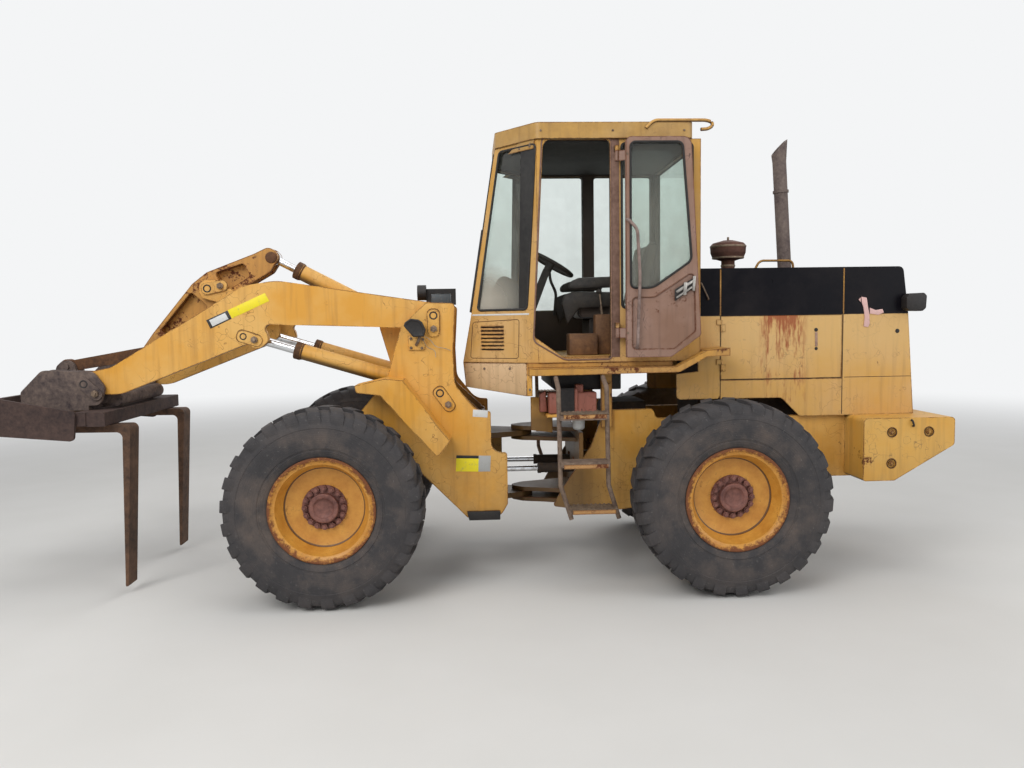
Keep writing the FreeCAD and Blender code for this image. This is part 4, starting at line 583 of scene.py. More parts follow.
def bent_tube(name, points, radius, bend=0.03, closed=False):
    """Round tube or rod along a bent line."""
    item = draw_line(name, points, closed)
    if len(points) > 2 and bend:
        bpy.ops.mesh.select_all(action="SELECT")
        bpy.ops.mesh.bevel(offset=bend, segments=5, affect="VERTICES")
    bpy.ops.object.mode_set(mode="OBJECT")
    bpy.ops.object.convert(target="CURVE")
    item = bpy.context.object
    item.data.bevel_depth = radius
    item.data.bevel_resolution = 3
    item.data.use_fill_caps = True
    bpy.ops.object.convert(target="MESH")
    bpy.ops.object.shade_smooth_by_angle(angle=math.radians(40))
    return bpy.context.object


def fit_tube(name, points, radius, bend, material, body="rear_body", closed=False):
    """Finished tube through points in x from the hitch, y and z."""
    tube = bent_tube(name, [(x + hitch_x, y, z) for x, y, z in points], radius, bend, closed)
    return finish_piece(tube, material, body)


# Pins: each is held by a flag plate with one bolt; the plates are yellow, the
# pins' ends sunk and near black.
finish_node(machine_yellow, "tower_pins", "boom_pins")
pin_spots = (
    # name, x and z of the pin, x and z of the bolt, outer face of the flag, pin radius, body,
    # how far in the dark line of grime and painted shade lies round the flag's edge, if any shows
    ("tower_top", (0.649, 1.937), (0.649, 1.842), 0.544, 0.027, "front_body", 0.0135),
    ("lift_base", (0.614, 1.381), (0.556, 1.298), 0.544, 0.027, "front_body", 0.0135),
    ("lift_end", (2.002, 1.808), (1.924, 1.783), 0.492, 0.023, "boom_body", 0.0065),
    ("crank", (2.353, 2.167), (2.255, 2.185), 0.135, 0.028, "boom_body", None),
    ("tool", (3.103, 1.492), (3.027, 1.423), 0.541, 0.026, "tool_body", None),
)
for name, spot, bolt, face_y, radius, body, dark_line_in in pin_spots:
    for side, hand in both_hands:
        profile = [(radius * share, side * (face_y + out)) for share, out in (
            (0, -0.004), (0.7, -0.004), (0.75, 0.002), (1, 0.003), (1.1, 0.0004), (1, -0.006), (0, -0.006))]
        pin_end = turned_across(f"{name}_pin_{hand}", profile, spot[0] + hitch_x, spot[1], 32)
        finish_piece(pin_end, black_iron, body)
        head = nut_at(f"{name}_bolt_{hand}", (bolt[0] + hitch_x, side * face_y, bolt[1]), 0.026, 0.016, side)
        soften(head, 0.0015, 1)
        finish_piece(head, bolt_steel, body)
        if dark_line_in is None:
            continue
        # A dark line all round the plate: grime in the corner, and painted shade along the plate's edge.
        way = (Vector(bolt) - Vector(spot)).normalized()
        flat = Vector((-way.y, way.x))
        end = Vector(bolt) + way * 0.052
        start = Vector(spot) - way * 0.047
        corners = (start + flat * 0.045, start - flat * 0.045, end - flat * 0.041, end + flat * 0.041)
        line = bent_tube(f"{name}_grime_{hand}", side_view(corners, side * (face_y - dark_line_in)), 0.003, 0.036,
                         closed=True)
        finish_piece(line, grime_and_shade_line, body)


# Near work lamp: an eight-sided black housing that has come off its bolted
# yellow bracket and hangs by its two bare wires.
head = cut_plate("near_lamp", side_view((
    (0.855, 1.866), (0.846, 1.890), (0.806, 1.917), (0.752, 1.909), (0.726, 1.890), (0.702, 1.838),
    (0.716, 1.790), (0.790, 1.788)), 0.572), (0, 0.062, 0))
choose_faces(head, lambda normal: abs(normal.y) > 0.9)
bpy.ops.mesh.inset(thickness=0.012)
bpy.ops.mesh.inset(thickness=0.004, depth=-0.006)
bpy.ops.object.mode_set(mode="OBJECT")
soften(head, 0.004)
finish_piece(head, black_iron, "front_body")
fit_plate("lamp_mount", ((0.834, 1.796), (0.700, 1.787), (0.716, 1.690), (0.830, 1.692)), 0.5305, 0.012, 0.002,
          machine_yellow, "front_body")
for name, x, z in (("a", 0.812, 1.775), ("b", 0.726, 1.768), ("c", 0.812, 1.709), ("d", 0.735, 1.706)):
    fit_bolt(f"lamp_mount_bolt_{name}", (x + hitch_x, 0.5425, z), 0.011, 0.008, body="front_body")
fit_tube("lamp_stalk", ((0.745, 0.56, 1.80), (0.760, 0.565, 1.752), (0.776, 0.548, 1.728)), 0.011, 0.012,
         bolt_steel, "front_body")
pale_wire = rusty_steel("pale_wire", "#6E6253", "#C6BBA6", rough=0.55, metal=0.0)
wires = (
    ("wire_a", ((0.720, 0.556, 1.795), (0.672, 0.556, 1.765), (0.640, 0.552, 1.715), (0.560, 0.549, 1.700),
                (0.532, 0.538, 1.685))),
    ("wire_b", ((0.735, 0.552, 1.785), (0.700, 0.550, 1.712), (0.640, 0.550, 1.688), (0.638, 0.545, 1.640))),
)
for name, points in wires:
    fit_tube(name, points, 0.0022, 0.02, pale_wire, "front_body")
finish_node(black_iron, "lamp_bracket")
fit_plate("lamp_panel", oblong(0.541, 0.699, 2.031, 2.119), -0.292, 0.018, 0.002,
          printed_film("film_slate", "#4C5358"), "front_body")


# Bellcrank and tilt link: one heavy casting and a forged bar, their enamel
# half gone to brown rust round the pins.
finish_node(weathered_enamel("crank_enamel", "#C58F3C", "#B58245", "#6F4526", rust_level=0.565, gloss=0.5),
            "bellcrank")
link_rust = rusty_steel("link_rust", "#3E2A20", "#7E5636")
finish_node(link_rust, "tilt_link")
for name, x, z in (("crank_top", 1.884, 2.397), ("crank_low", 2.800, 1.700)):
    for side, hand in both_hands:
        boss = turned_across(f"{name}_boss_{hand}", [(radius, side * y) for radius, y in (
            (0, 0.094), (0.020, 0.094), (0.034, 0.091), (0.040, 0.0895), (0.044, 0.0805), (0, 0.0805))],
            x + hitch_x, z, 40)
        finish_piece(boss, link_rust, "bellcrank_body")


# Cylinders: honed tubes in yellow enamel with rusty gland nuts, and rods of
# hard chrome that still shine where the seals have wiped them.
def hard_chrome():
    material, node, where = new_material("hard_chrome")
    haze = node("TexNoise", {"Vector": where, "Scale": 18.0, "Detail": 6.0})
    film = node("MapRange", {0: haze, 1: 0.5, 2: 0.75, 4: 0.6})
    tone = node("Mix", {0: film, 6: "#D8DADD", 7: "#7D6C5C"}, data_type="RGBA")
    rough = node("MapRange", {0: film, 3: 0.14, 4: 0.5})
    metal = node("BsdfPrincipled", {"Base Color": tone, "Metallic": 1.0, "Roughness": rough})
    node("OutputMaterial", {"Surface": metal})
    return material


finish_node(hard_chrome(), "lift_rod_left", "lift_rod_right", "tilt_rod", "steer_rod_left", "steer_rod_right")
gland_rust = rusty_steel("gland_rust", "#33241B", "#75502F")


def gland_ring(name, start, end, side_y, reach, radius, body):
    """Gland nut at a barrel's mouth, with a bead of old dirt behind it."""
    run = Vector((end[0] - start[0], 0, end[1] - start[1])).normalized()
    up = Vector((-run.z, 0, run.x))
    base = Vector((start[0] + hitch_x, side_y, start[1]))
    profile = ((-0.012, radius - 0.008), (-0.010, radius + 0.003), (0.001, radius + 0.004),
               (0.004, radius + 0.0085), (0.045, radius + 0.0085), (0.048, radius + 0.004),
               (0.048, radius * 0.58))
    item = turned(name, [base + run * (reach + along) + up * r for along, r in profile], base, run, 40)
    return finish_piece(item, gland_rust, body)


for side, hand in both_hands:
    gland_ring(f"lift_gland_{hand}", (0.614, 1.381), (2.002, 1.808), side * 0.364, 1.050, 0.057,
               f"lift_barrel_{hand}_body")
gland_ring("tilt_gland", (0.690, 1.770), (1.884, 2.397), 0.0, 1.110, 0.060, "tilt_barrel_body")
finish_node(rusty_steel("axle_dirt", "#15100D", "#3D2C1B", rough=0.85, metal=0.0),
            "front_axle", "rear_axle", "transmission", "engine", "steer_barrel_left", "steer_barrel_right")


# Coupler, fork carriage and tines: bare plate and forged steel, dark brown
# rust with grey wear, hung tipped fully forward.
finish_node(rusty_steel("coupler_steel", "#3A3133", "#7B6A60"), "coupler")
finish_node(rusty_steel("fork_steel", "#372820", "#71533E", bump_size=22.0), "forks")
finish_node(rusty_steel("carriage_steel", "#2F2423", "#54413A"), "carriage")


# Hood: one bent sheet in black enamel, dusty on top, with scratches down to
# yellow primer and rust; two yellow joint strips, a lift handle and a rail.
def black_enamel():
    material, node, where = new_material("black_enamel")
    haze = node("TexNoise", {"Vector": where, "Scale": 3.0, "Detail": 7.0, "Roughness": 0.65})
    dusty = node("MapRange", {0: haze, 1: 0.45, 2: 0.8, 4: 0.10})
    face = node("NewGeometry")
    turn = node("SeparateXYZ", {0: face.outputs["Normal"]})
    upward = node("MapRange", {0: turn.outputs["Z"], 1: 0.5, 2: 1.0, 4: 0.30})
    cover = node("Math", {0: dusty, 1: upward}, operation="MAXIMUM")
    tone = node("Mix", {0: cover, 6: "#0D0C12", 7: "#665D58"}, data_type="RGBA")
    # Scratches lie along the sheet: 3 mm high, a hand long.
    long = node("Mapping", {"Vector": where, "Scale": (7.0, 7.0, 120.0)})
    marks = node("TexNoise", {"Vector": long, "Scale": 1.0, "Detail": 6.0, "Roughness": 0.75})
    scratch = node("MapRange", {0: marks, 1: 0.70, 2: 0.73})
    bare = node("Mix", {0: scratch, 6: tone, 7: "#6E4A2C"}, data_type="RGBA")
    rough = node("MapRange", {0: haze, 1: 0.3, 2: 0.7, 3: 0.22, 4: 0.5})
    coat = node("BsdfPrincipled", {"Base Color": bare, "Roughness": rough, "Specular IOR Level": 0.10})
    node("OutputMaterial", {"Surface": coat})
    return material


finish_node(black_enamel(), "hood")
joint_yellow = weathered_enamel("joint_yellow", "#D29A2C", "#C49A50", "#7C6038", rust_level=0.64, dirt_top=0.2)
hood_foot = 1.907
strip_profile = ((-0.500, hood_foot), (-0.500, 2.241), (-0.491, 2.250), (0.491, 2.250), (0.500, 2.241),
                 (0.500, hood_foot))
for name, x in (("front", -1.444 + hitch_x), ("rear", -2.364 + hitch_x)):
    outline = [(x, y * 1.0016, hood_foot + (z - hood_foot) * 1.0024) for y, z in strip_profile]
    inner = [(x, y * 0.997, z - 0.002 if z > 2 else z) for y, z in reversed(strip_profile)]
    band = cut_plate(f"joint_strip_{name}", outline + inner, (0.009, 0, 0))
    finish_piece(band, joint_yellow, "rear_body")
for side, hand in both_hands:
    fit_tube(f"hood_handle_{hand}", [(x, side * y, z) for x, y, z in (
        (-1.289, 0.499, 2.144), (-1.289, 0.528, 2.144), (-1.345, 0.528, 2.025), (-1.345, 0.499, 2.025))],
        0.0055, 0.012, bolt_steel)
fit_tube("hood_rail", ((-1.763, 0.30, 2.249), (-1.800, 0.30, 2.316), (-2.052, 0.30, 2.314),
                       (-2.060, 0.30, 2.249)), 0.009, 0.03, joint_yellow)


# Shrouds and engine doors: pale sun-bleached yellow with long rain streaks, a
# broad rusty stain where the left door's paint has gone, open seams.
def coat_colour(material):
    """A finish's shader, the socket its colour comes from, its node function and the place."""
    tree = material.node_tree
    coat = tree.nodes["Principled BSDF"]
    node = partial(add_node, tree)
    return coat, coat.inputs["Base Color"].links[0].from_socket, node, node("TexCoord").outputs["Object"]


panel_yellow = weathered_enamel("panel_yellow", "#CE9C48", "#CFA469", "#8E6A40", rust_level=0.655, dirt_top=1.0)
coat, under, node, spot = coat_colour(panel_yellow)
axes = node("SeparateXYZ", {0: spot})
side_left = node("Math", {0: axes.outputs["Y"], 1: 0.4}, operation="GREATER_THAN")
along = node("MapRange", {0: axes.outputs["X"], 1: -2.50, 2: -2.42})
until = node("MapRange", {0: axes.outputs["X"], 1: -2.12, 2: -2.17})
drop = node("MapRange", {0: axes.outputs["Z"], 1: 1.58, 2: 1.90, 3: -0.02, 4: 0.13})
area = node("Math", {0: along, 1: until}, operation="MULTIPLY")
area = node("Math", {0: area, 1: side_left}, operation="MULTIPLY")
# Runs some 30 mm wide that start under the hood's edge.
tall = node("Mapping", {"Vector": spot, "Scale": (20.0, 20.0, 3.0)})
ragged = node("TexNoise", {"Vector": tall, "Scale": 1.0, "Detail": 8.0, "Roughness": 0.7})
blot = node("Math", {0: ragged, 1: drop}, operation="ADD")
spread = node("MapRange", {0: blot, 1: 0.50, 2: 0.60, 4: 0.92})
mask = node("Math", {0: spread, 1: area}, operation="MULTIPLY")
rusty = node("Mix", {0: ragged, 6: "#A8511F", 7: "#7C3A18"}, data_type="RGBA")
# The upper half of the doors has bleached almost to cream.
cream = node("MapRange", {0: axes.outputs["Z"], 1: 1.46, 2: 1.72, 4: 0.5})
under = node("Mix", {0: cream, 6: under, 7: "#D3B075"}, data_type="RGBA").outputs[2]
stained = node("Mix", {0: mask, 6: under, 7: rusty}, data_type="RGBA")
panel_yellow.node_tree.links.new(stained.outputs[2], coat.inputs["Base Color"])


finish_node(panel_yellow, "shrouds", "engine_door_left", "engine_door_right")
gap_black = rusty_steel("gap_black", "#120E0C", "#2A2019", rough=0.9, metal=0.0)
seams = (
    # name, ends in x, ends in z
    ("front", -1.4435, -1.4375, 1.30, 1.905),
    ("under_door", -1.440, -2.349, 1.4345, 1.4395),
    ("rear_low", -2.372, -2.880, 1.437, 1.441),
    ("rear_post", -2.360, -2.354, 1.165, 1.903),
    ("band", -1.285, -2.848, 1.9035, 1.9075),
)
for name, *ends in seams:
    fit_plates(f"seam_{name}", oblong(*ends), 0.4996, 0.0008, 0, gap_black)

latches = (
    # name, x and z from the hitch, radius, body
    ("door_high", -2.155, 1.792, 0.014, "engine_door_{}_body"),
    ("door_low", -2.158, 1.654, 0.012, "engine_door_{}_body"),
    ("rear_panel", -2.770, 1.775, 0.016, "rear_body"),
)
for name, x, z, radius, body in latches:
    for side, hand in both_hands:
        knob = turned_across(f"latch_{name}_{hand}", [(radius * share, side * y) for share, y in (
            (0, 0.5055), (0.55, 0.5055), (0.65, 0.5015), (1, 0.501), (1.08, 0.4975), (0, 0.4975))],
            x + hitch_x, z, 24)
        finish_piece(knob, black_iron, body.format(hand))
fit_plates("door_grip", ((-2.146, 1.776), (-2.166, 1.776), (-2.168, 1.670), (-2.148, 1.670)),
           0.4995, 0.004, 0.003, rusty_steel("grip_rust", "#6B4B3A", "#B99A86", rough=0.6),
           "engine_door_{}_body")


# Counterweight and rear frame: cast and welded steel in the machine's yellow,
# three sunk bolts a side, a lashing hook, and the rear lamp's black housing.
finish_node(weathered_enamel("weight_yellow", "#D29C3F", "#D0A55A", "#8D6C3E", rust_level=0.63, dirt_top=0.95,
                             oil=0.0), "counterweight")
ring_radius = 0.0335
for x, z in ((-2.612, 1.055), (-2.884, 1.055), (-2.612, 0.830)):
    for side, hand in both_hands:
        mark = f"{hand}_{int(-x * 1000)}_{int(z * 1000)}"
        head = nut_at(f"weight_bolt_{mark}", (x + hitch_x, side * 0.7378, z), 0.021, 0.010, side)
        soften(head, 0.0015, 1)
        finish_piece(head, joint_yellow, "rear_body")
        circle = [(x + ring_radius * math.cos(a), side * 0.7495, z + ring_radius * math.sin(a))
                  for a in (math.tau * k / 24 for k in range(24))]
        fit_tube(f"weight_ring_{mark}", circle, 0.0035, 0, grime_and_shade_line, closed=True)
for side, hand in both_hands:
    fit_tube(f"lashing_hook_{hand}", [(x, side * y, z) for x, y, z in (
        (-2.752, 0.748, 1.140), (-2.752, 0.766, 1.140), (-2.764, 0.768, 1.098), (-2.764, 0.748, 1.098))],
        0.007, 0.012, black_iron)
fit_plates("rear_lamp", ((-2.790, 1.940), (-2.790, 2.020), (-2.815, 2.048), (-2.925, 2.052), (-2.945, 2.030),
                         (-2.940, 1.940), (-2.915, 1.918), (-2.815, 1.920)), 0.5005, 0.085, 0.010,
           black_iron)
# What is left of the old side lamps: pink broken plastic round their screws.
pink_plastic = printed_film("pink_plastic", "#D8AFA8")
shards = (
    # name, corners in x and z from the hitch
    ("upright", ((-2.490, 2.030), (-2.530, 2.022), (-2.540, 1.960), (-2.552, 1.900), (-2.556, 1.835),
                 (-2.545, 1.806), (-2.512, 1.812), (-2.518, 1.880), (-2.508, 1.950), (-2.495, 1.985))),
    ("arm", ((-2.556, 1.948), (-2.600, 1.930), (-2.650, 1.938), (-2.662, 1.912), (-2.620, 1.895),
             (-2.556, 1.905))),
    ("chip", ((-2.470, 2.010), (-2.484, 2.024), (-2.486, 1.990))),
)
for name, corners in shards:
    fit_plate(f"lamp_shard_{name}", corners, 0.5003, 0.007, 0.001, pink_plastic)


# Stack and pre-cleaner: a scaled steel pipe gone violet-brown, and a spun
# bowl with its clamp bands.
finish_node(rusty_steel("stack_rust", "#574A4A", "#86786F", bump_size=45.0, rough=0.85, metal=0.3),
            "exhaust_stack")
finish_node(rusty_steel("bowl_rust", "#432A25", "#6E4A3C", bump_size=26.0), "precleaner")
bowl_x = -1.655
for name, z, radius in (("neck", 2.300, 0.054), ("shoulder", 2.362, 0.121), ("rim", 2.449, 0.1378)):
    edge_x = bowl_x + hitch_x + radius
    band = turned(f"bowl_band_{name}", [(edge_x + out, 0, z + up) for out, up in (
        (-0.006, -0.008), (0.001, -0.007), (0.003, 0), (0.001, 0.007), (-0.006, 0.008))],
        (bowl_x + hitch_x, 0, z), (0, 0, 1), 48)
    finish_piece(band, bolt_steel, "rear_body")
fit_tube("bowl_clamp", ((bowl_x, 0.0, 2.499), (bowl_x, 0.0, 2.524)), 0.009, 0, bolt_steel)


# Cab: folded steel shell, yellow outside and brown and black within, black
# rubber round every pane, louvres and a white rub strip on the nose.
cab_yellow = weathered_enamel("cab_yellow", "#C8953F", "#CDA367", "#8A6236", rust_level=0.645, dirt_top=1.62)
coat, outside, node, where = coat_colour(cab_yellow)
facing = node("NewGeometry").outputs["Normal"]
# A face looks into the room where its normal points back to the cab's middle.
from_middle = node("VectorMath", {0: where, 1: (-0.82, 0.0, 2.2)}, operation="SUBTRACT")
level = node("VectorMath", {0: from_middle, 1: (1.0, 1.0, 0.0)}, operation="MULTIPLY")
look = node("VectorMath", {0: level, 1: facing}, operation="DOT_PRODUCT")
inward = node("Math", {0: look, 1: -0.05}, operation="LESS_THAN")
soot = node("TexNoise", {"Vector": where, "Scale": 5.0, "Detail": 6.0})
lining = node("Mix", {0: soot, 6: "#15100E", 7: "#43301F"}, data_type="RGBA")
cab_paint = node("Mix", {0: inward, 6: outside, 7: lining}, data_type="RGBA")
cab_yellow.node_tree.links.new(cab_paint.outputs[2], coat.inputs["Base Color"])
finish_node(cab_yellow, "cab_frame")
roof_yellow = weathered_enamel("roof_yellow", "#CFA253", "#D0AC72", "#8C6C44", rust_level=0.64, dirt_top=0.2)
finish_node(roof_yellow, "cab_roof")


def dusty_glass(name):
    """Flat safety glass under a thin film of dust, thicker towards its lower edge."""
    material, node, where = new_material(name)
    haze = node("TexNoise", {"Vector": where, "Scale": 4.0, "Detail": 7.0, "Roughness": 0.65})
    place = node("SeparateXYZ", {0: where})
    low = node("MapRange", {0: place.outputs["Z"], 1: 3.0, 2: 1.97, 3: 0.35, 4: 1.0})
    film = node("Math", {0: haze, 1: low}, operation="MULTIPLY")
    dust = node("MapRange", {0: film, 1: 0.12, 2: 0.62, 3: 0.01, 4: 0.16})
    # Beside the dashboard it lies as thick as the wiper left it.
    height = node("MapRange", {0: place.outputs["Z"], 1: 2.34, 2: 2.06, 4: 0.8})
    ahead = node("MapRange", {0: place.outputs["X"], 1: -0.40, 2: -0.16})
    drift = node("Math", {0: height, 1: ahead}, operation="MULTIPLY")
    dust = node("Math", {0: dust, 1: drift}, operation="MAXIMUM")
    clear = node("BsdfTransparent", {"Color": "#F4F8F6"})
    shine = node("BsdfGlossy", {"Color": "#FFFFFF", "Roughness": 0.03})
    edge = node("Fresnel", {"IOR": 1.45})
    # Only the face that light enters by reflects.
    leaving = node("NewGeometry").outputs["Backfacing"]
    gleam = node("Math", {0: leaving, 1: 0.5}, operation="LESS_THAN")
    gleam = node("Math", {0: gleam, 1: edge}, operation="MULTIPLY")
    pane = node("MixShader", {0: gleam, 1: clear, 2: shine})
    grime = node("BsdfDiffuse", {"Color": "#B9B2A4"})
    whole = node("MixShader", {0: dust, 1: pane, 2: grime})
    node("OutputMaterial", {"Surface": whole})
    return material


pane_glass = dusty_glass("pane_glass")
finish_node(pane_glass, "cab_glass", "cab_door_glass")
seal_rubber = rusty_steel("seal_rubber", "#0F0E0E", "#2B2927", rough=0.75, metal=0.0)


def nose_point(x, z, side=1, out=0.0):
    """Point on the cab's outer wall above a place in side view, x from the hitch."""
    front = 0.445 - 0.189 * (max(z, 1.59) - 1.59) if z < 1.955 else 0.376 - 0.1612 * (z - 1.955)
    across = 0.66 if x < -0.09 else 0.66 - 0.325 * (x + 0.09) / (front + 0.09)
    return (x + hitch_x, side * (across + out), z)


side_panes = (
    # name, corners in x and z from the hitch, sides
    ("nose", ((-0.015, 1.970), (0.331, 1.970), (0.155, 3.110), (-0.085, 3.110)), (1, -1)),
    ("rear", ((-1.185, 1.970), (-1.185, 3.110), (-0.685, 3.110), (-0.685, 1.970)), (1, -1)),
    ("middle", ((-0.595, 1.970), (-0.595, 3.110), (-0.140, 3.110), (-0.080, 1.970)), (-1,)),
)
for name, corners, sides in side_panes:
    for side in sides:
        seal = bent_tube(f"seal_{name}_{'left' if side > 0 else 'right'}",
                         [nose_point(x, z, side) for x, z in corners], 0.009, 0.028, closed=True)
        finish_piece(seal, seal_rubber, "rear_body")
seal = bent_tube("seal_front", [(0.376 - 0.1612 * (z - 1.955) + hitch_x, y, z) for y, z in (
    (-0.290, 1.970), (0.290, 1.970), (0.290, 3.110), (-0.290, 3.110))], 0.009, 0.028, closed=True)
finish_piece(seal, seal_rubber, "rear_body")
seal = bent_tube("seal_back", [(-1.245 + hitch_x, y, z) for y, z in (
    (-0.590, 1.970), (0.590, 1.970), (0.590, 3.110), (-0.590, 3.110))], 0.009, 0.028, closed=True)
finish_piece(seal, seal_rubber, "rear_body")
trim_brown = rusty_steel("trim_brown", "#5C4033", "#8A6B5C", rough=0.6, metal=0.1)
seal = bent_tube("seal_doorway", side_view((
    (-0.612, 1.609), (-0.612, 3.147), (-0.129, 3.147), (-0.055, 1.742), (-0.276, 1.609)), 0.6605),
    0.006, 0.03, closed=True)
finish_piece(seal, trim_brown, "rear_body")
apron_tan = weathered_enamel("apron_tan", "#C9A577", "#D0AE84", "#8B6B48", rust_level=0.66, dirt_top=1.4)
nose_plates = (
    # name, corners in x and z from the hitch, height over the wall, thickness, rounding, finish, slot
    ("rub_strip", ((0.372, 1.931), (-0.029, 1.931), (-0.029, 1.943), (0.370, 1.943)), -0.002, 0.005, 0.001,
     film_white, "machine_yellow"),
    ("post_bracket", ((0.060, 3.082), (-0.070, 3.082), (-0.076, 3.128), (-0.010, 3.130)), -0.001, 0.010, 0.002,
     black_iron, "dark_steel"),
    ("apron_cover", ((0.432, 1.586), (-0.008, 1.586), (-0.008, 1.352), (0.430, 1.408)), 0, -0.012, 0.002,
     apron_tan, "machine_yellow"),
    ("apron_flange", ((-0.008, 1.584), (-0.046, 1.584), (-0.046, 1.354), (-0.008, 1.352)), -0.002, -0.010,
     0.002, machine_yellow, "machine_yellow"),
    ("glass_band", ((-0.014, 1.972), (0.040, 1.972), (0.010, 3.108), (-0.084, 3.108)), -0.003, 0.004, 0.001,
     seal_rubber, "cab_plastic"),
    ("post_gusset", ((0.097, 3.078), (-0.006, 3.172), (-0.083, 3.171), (-0.075, 3.078)), 0.001, 0.008, 0.002,
     roof_yellow, "machine_yellow"),
)
nose_bolts = (
    # name, places in x and z from the hitch, height over the wall, radius, height
    ("post_bolt", ((0.020, 3.098), (-0.045, 3.098), (-0.050, 3.116)), 0.008, 0.008, 0.006),
    ("gusset_bolt", ((-0.050, 3.150), (-0.050, 3.105)), 0.0095, 0.009, 0.005),
    ("apron_bolt", ((0.290, 1.545), (0.110, 1.548), (-0.027, 1.545), (-0.027, 1.400)), -0.001, 0.010, 0.006),
)
for side, hand in both_hands:
    frame_line = bent_tube(f"louvre_frame_{hand}", [nose_point(x, z, side, -0.001) for x, z in (
        (0.368, 1.885), (0.039, 1.900), (0.047, 1.622), (0.389, 1.621))], 0.0025, 0.02, closed=True)
    finish_piece(frame_line, grime_and_shade_line, "rear_body")
    for name, corners, out, thick, width, finish, slot_name in nose_plates:
        plate = cut_plate(f"{name}_{hand}", [nose_point(x, z, side, out) for x, z in corners],
                          (0, side * thick, 0), width)
        finish_piece(plate, finish, "rear_body")
    for row in range(7):
        low = 1.690 + row * 0.027
        lip = cut_plate(f"louvre_lip_{hand}_{row}", [nose_point(x, z, side, -0.004) for x, z in
                                                     oblong(0.148, 0.308, low, low + 0.006)],
                        (0, side * 0.012, 0), 0.001)
        finish_piece(lip, cab_yellow, "rear_body")
    for name, spots, out, radius, height in nose_bolts:
        for index, (x, z) in enumerate(spots):
            fit_bolt(f"{name}_{hand}_{index}", nose_point(x, z, side, out), radius, height, side)
    fit_tube(f"roof_rail_{hand}", [(x, side * 0.6865, z) for x, z in (
        (-0.850, 3.205), (-0.905, 3.259), (-1.285, 3.259), (-1.330, 3.235), (-1.300, 3.200), (-1.235, 3.196))],
        0.012, 0.03, cab_yellow)
    for index, x in enumerate((-0.12, -0.62, -1.12)):
        fit_bolt(f"roof_bolt_{hand}_{index}", (x + hitch_x, side * 0.6848, 3.192), 0.008, 0.005, side)
fit_plate("post_trim_left", oblong(-0.668, -0.606, 1.625, 3.136), 0.6605, 0.003, 0.001, trim_brown)
sweep = bent_tube("wiper", [(0.376 - 0.1612 * (z - 1.955) + hitch_x + 0.012, y, z) for y, z in (
    (0.12, 1.962), (0.03, 2.30), (-0.03, 2.60))], 0.005, 0.02)
finish_piece(sweep, black_iron, "rear_body")
headliner = cut_plate("headliner", [(x + hitch_x, y, 3.124) for x, y in (
    (-1.205, -0.62), (-0.10, -0.62), (0.15, -0.30), (0.15, 0.30), (-0.10, 0.62), (-1.205, 0.62))],
    (0, 0, 0.0155), 0.003)
finish_piece(headliner, seal_rubber, "rear_body")


# Cab door: brown pressed frame folded back against the cab, with its grab
# bar, latch box, the rubber round its pane and two strap hinges.
door_brown = weathered_enamel("door_brown", "#82614E", "#987A6C", "#4A342A", rust_level=0.63, dirt_top=1.9)
finish_node(door_brown, "cab_door")
door_seal = bent_tube("door_seal", side_view((
    (-0.725, 2.105), (-0.725, 3.095), (-1.085, 3.095), (-1.150, 2.290), (-0.880, 2.105)), 0.7755),
    0.008, 0.035, closed=True)
finish_piece(door_seal, seal_rubber, "cab_door_body")
grab_steel = rusty_steel("grab_steel", "#5E4A42", "#9C8880", rough=0.5, metal=0.1)
fit_tube("door_grab", (
    (-0.702, 0.774, 2.573), (-0.702, 0.798, 2.573), (-0.766, 0.800, 2.505), (-0.784, 0.800, 2.182),
    (-0.765, 0.800, 1.700), (-0.765, 0.768, 1.690)),
         0.0115, 0.03, grab_steel, "cab_door_body")
zinc_plate = rusty_steel("zinc_plate", "#6B645E", "#B9B6B0", rough=0.35, metal=0.8)
fit_plate("door_latch", (
    (-1.030, 2.010), (-1.150, 2.090), (-1.172, 2.175), (-1.030, 2.090)),
          0.774, 0.010, 0.003, black_iron, "cab_door_body")
latch_bars = (
    # name, ends in x and z from the hitch, width, thickness
    ("upper", (-1.040, 2.070), (-1.160, 2.150), 0.017, 0.016),
    ("lower", (-1.040, 2.032), (-1.150, 2.106), 0.013, 0.016),
    ("keeper", (-1.158, 2.078), (-1.164, 2.182), 0.018, 0.022),
    ("catch", (-1.095, 2.050), (-1.103, 2.138), 0.022, 0.024),
)
for name, (x0, z0), (x1, z1), width, thick in latch_bars:
    way = Vector((x1 - x0, z1 - z0)).normalized() * (width / 2)
    fit_plate(f"latch_{name}", (
        (x0 - way.y, z0 + way.x), (x0 + way.y, z0 - way.x), (x1 + way.y, z1 - way.x),
        (x1 - way.y, z1 + way.x)),
              0.7755, thick, 0.003, zinc_plate, "cab_door_body")
for index, (x, z) in enumerate(((-0.690, 1.795), (-0.690, 3.015))):
    fit_bolt(f"door_bolt_{index}", (x - 0.012 + hitch_x, 0.7745, z), 0.008, 0.006, body="cab_door_body")


# Inside: worn black plastic dashboard, dark pedestal, brown boxes and levers
# beside the seat.
inside_black = rusty_steel("inside_black", "#171412", "#3A322B", rough=0.6, metal=0.0)
inside_brown = rusty_steel("inside_brown", "#4A3120", "#7B5534", rough=0.7, metal=0.0)
finish_node(inside_black, "console_and_wheel", "seat")
inside_boxes = (
    # name, x ends from the hitch, y ends, z ends
    ("heater_box", (-0.550, -0.337), (0.235, 0.420), (1.630, 1.790)),
    ("lever_box", (-0.654, -0.540), (0.245, 0.360), (1.630, 1.930)),
)
for name, (x0, x1), (y0, y1), (z0, z1) in inside_boxes:
    box = cut_plate(name, [(x0 + hitch_x, y0, z0), (x1 + hitch_x, y0, z0), (x1 + hitch_x, y1, z0),
                           (x0 + hitch_x, y1, z0)], (0, 0, z1 - z0), 0.012)
    finish_piece(box, inside_brown, "rear_body")
